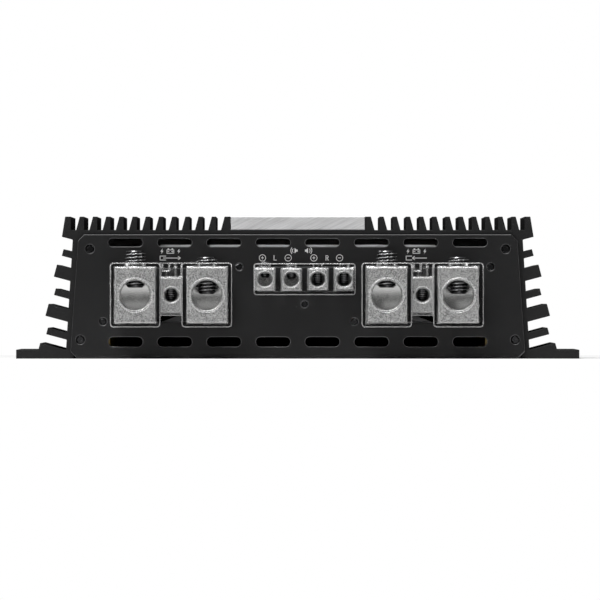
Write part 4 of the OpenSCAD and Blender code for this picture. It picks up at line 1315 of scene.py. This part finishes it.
def ring_cores(name, node, inset):
    """Ring cores just inside the windings of a CAD node, as lathed rings with eased corners."""
    shape = bmesh.new()
    steps, ease = 48, 1.2 * MM
    for group in solids(node):
        low, high = corners(group)
        centre = middle_of(low, high)
        outer = (high.x - low.x) / 2 - inset
        inner = INDUCTOR_HOLE + inset
        half = (high.z - low.z) / 2 - inset
        lower = [(inner, ease - half), (inner + ease, -half), (outer - ease, -half), (outer, ease - half)]
        profile = lower + [(r, -z) for r, z in reversed(lower)]
        loops = []
        for k in range(steps):
            turn = 2 * math.pi * k / steps
            loops.append([
                shape.verts.new(centre + Vector((r * math.cos(turn), r * math.sin(turn), z)))
                for r, z in profile
            ])
        for here, there in zip(loops, loops[1:] + loops[:1]):
            for i in range(len(profile)):
                j = (i + 1) % len(profile)
                shape.faces.new((here[i], there[i], there[j], here[j]))
    bmesh.ops.recalc_face_normals(shape, faces=shape.faces)
    mesh = mesh_of(shape, name)
    smooth(mesh)
    return new_piece(name, mesh)


# ---------- control end ----------


class AMP_OT_control_end(bpy.types.Operator):
    """Phono jacks, trimmers, slide switch, level socket and status lights"""

    bl_idname = "amp.control_end"
    bl_label = "Control end"

    def execute(self, context):
        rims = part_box("control_end_plate")[1].y - 4 * MM
        split = middle_of(*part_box("phono_jacks")).z
        jacks = eased("phono_jacks", 0.2 * MM, "black moulding", slot="black_moulding")
        parted(jacks, ["white insulator", "red insulator"],
               lambda place: 0 if place.y <= rims else 1 if place.z > split else 2)
        eased("phono_jack_sleeves", 0.12 * MM, "gold", slot="gold_sleeves")
        eased("trimmer_bodies", 0.2 * MM, "blue trimmer case", slot="trimmer_case")
        for node in TRIMMERS:
            eased(node, 0.25 * MM, "trimmer shaft", body=node, slot="trimmer_shaft")
        eased("switch_body", 0.2 * MM, "tin", slot="switch_case")
        eased("switch_slider", 0.3 * MM, "trimmer shaft", body="switch_slider", slot="switch_tab")
        eased("level_jack", 0.2 * MM, "black moulding", slot="black_moulding")
        lights = eased("status_leds", 0.3 * MM, "green lens", slot="led_lens", segments=3)
        middle = middle_of(*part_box("status_leds")).x
        parted(lights, ["red lens"], lambda place: 1 if place.x > middle else 0)
        return {"FINISHED"}


# ---------- studio ----------


class AMP_OT_studio(bpy.types.Operator):
    """White surround, soft lights and the camera"""

    bl_idname = "amp.studio"
    bl_label = "Studio"

    def execute(self, context):
        scene = context.scene
        scene.view_settings.view_transform = "Standard"
        self.camera(scene)
        self.room(scene)
        self.floor(scene.amp_studio)
        self.lights(scene.amp_studio)
        return {"FINISHED"}

    def camera(self, scene):
        studio = scene.amp_studio
        camera = bpy.data.cameras.new("camera")
        camera.sensor_width = 36.0
        camera.lens = camera.sensor_width * studio.distance / studio.view_width
        camera.clip_end = 4 * studio.distance
        holder = new_piece("camera", camera)
        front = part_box("terminal_end_plate")[0].y
        holder.location = (studio.aim_x, front - studio.distance, studio.aim_z)
        holder.rotation_euler = (math.pi / 2, 0, 0)
        scene.camera = holder

    def room(self, scene):
        """A room that is white to look at and dimmer as a source of light."""
        world = bpy.data.worlds.new("room")
        world.use_nodes = True
        world.node_tree.nodes.clear()
        graph = Graph(world.node_tree)
        dim = graph.add("ShaderNodeBackground", {}, {
            "Color": (1, 1, 1, 1), "Strength": scene.amp_studio.surround})
        white = graph.add("ShaderNodeBackground", {}, {"Color": (1, 1, 1, 1), "Strength": 1.0})
        seen = graph.add("ShaderNodeLightPath", output="Is Camera Ray")
        both = graph.add("ShaderNodeMixShader", {}, {0: seen, 1: dim, 2: white})
        graph.add("ShaderNodeOutputWorld", {}, {"Surface": both})
        scene.world = world

    def floor(self, studio):
        """Plain pale floor under the feet."""
        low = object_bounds()[0].z
        half = studio.floor_width / 2
        mesh = bpy.data.meshes.new("floor")
        outline = [(x * half, y * half, low) for x, y in ((-1, -1), (1, -1), (1, 1), (-1, 1))]
        mesh.from_pydata(outline, [], [range(4)])
        floor = new_piece("floor", mesh)
        floor.data.materials.append(finish("floor paint"))
        floor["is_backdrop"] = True

    def lights(self, studio):
        self.lamp("top light", studio.top_light, (20, -14, 0), "SUN", angle=math.radians(40))
        for side in (-1, 1):
            self.card("side light", studio.side_light, (90, 0, side * 50),
                      (side * 0.42, -0.34, 0.12), 0.06, 0.3)
        self.card("key light", studio.key_light, (42, 0, -32), (-0.5, -0.75, 0.85), 0.5, 0.5)
        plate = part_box("terminal_end_plate")[1]
        self.card("inside light", studio.inside_light, (75, 0, 0),
                  (0, plate.y + 4 * MM, plate.z - 3.5 * MM), 0.15, 0.003)
        self.card("front light", studio.front_light, (78, 0, -8), (-0.08, -0.55, 0.13), 0.32, 0.06)

    def card(self, name, power, turn, place, width, height):
        """A soft lamp with a straight outline, unseen by the camera."""
        holder = self.lamp(name, power, turn, "AREA", shape="RECTANGLE", size=width, size_y=height)
        holder.location = place
        holder.visible_camera = False

    def lamp(self, name, power, turn, kind, **settings):
        light = bpy.data.lights.new(name, kind)
        light.energy = power
        for setting, value in settings.items():
            setattr(light, setting, value)
        holder = new_piece(name, light)
        holder.rotation_euler = [math.radians(angle) for angle in turn]
        return holder


# ---------- add-on ----------

STEPS = (
    AMP_OT_housing, AMP_OT_trim_plate, AMP_OT_end_plates, AMP_OT_covers, AMP_OT_blocks,
    AMP_OT_set_screws, AMP_OT_panel_screws, AMP_OT_printing, AMP_OT_circuit_board,
    AMP_OT_power_parts, AMP_OT_control_end, AMP_OT_studio,
)
GROUPS = {
    "amp_housing": HousingSizes,
    "amp_terminals": TerminalSizes,
    "amp_inside": InsideSizes,
    "amp_finishes": FinishColours,
    "amp_studio": StudioSettings,
}


class AMP_PT_panel(bpy.types.Panel):
    """Sizes, colours and steps of the amplifier"""

    bl_idname = "AMP_PT_panel"
    bl_label = "Amplifier"
    bl_space_type = "VIEW_3D"
    bl_region_type = "UI"
    bl_category = "Amplifier"

    def draw(self, context):
        for name, group in GROUPS.items():
            box = self.layout.box()
            for prop in group.__annotations__:
                box.prop(getattr(context.scene, name), prop)
        for step in STEPS:
            self.layout.operator(step.bl_idname)


def register():
    for name, group in GROUPS.items():
        bpy.utils.register_class(group)
        setattr(bpy.types.Scene, name, PointerProperty(type=group))
    for step in (*STEPS, AMP_PT_panel):
        bpy.utils.register_class(step)


def unregister():
    for step in (*STEPS, AMP_PT_panel):
        bpy.utils.unregister_class(step)
    for name, group in GROUPS.items():
        delattr(bpy.types.Scene, name)
        bpy.utils.unregister_class(group)


def main():
    register()
    for step in STEPS:
        family, verb = step.bl_idname.split(".")
        getattr(getattr(bpy.ops, family), verb)()


if __name__ == "__main__":
    main()
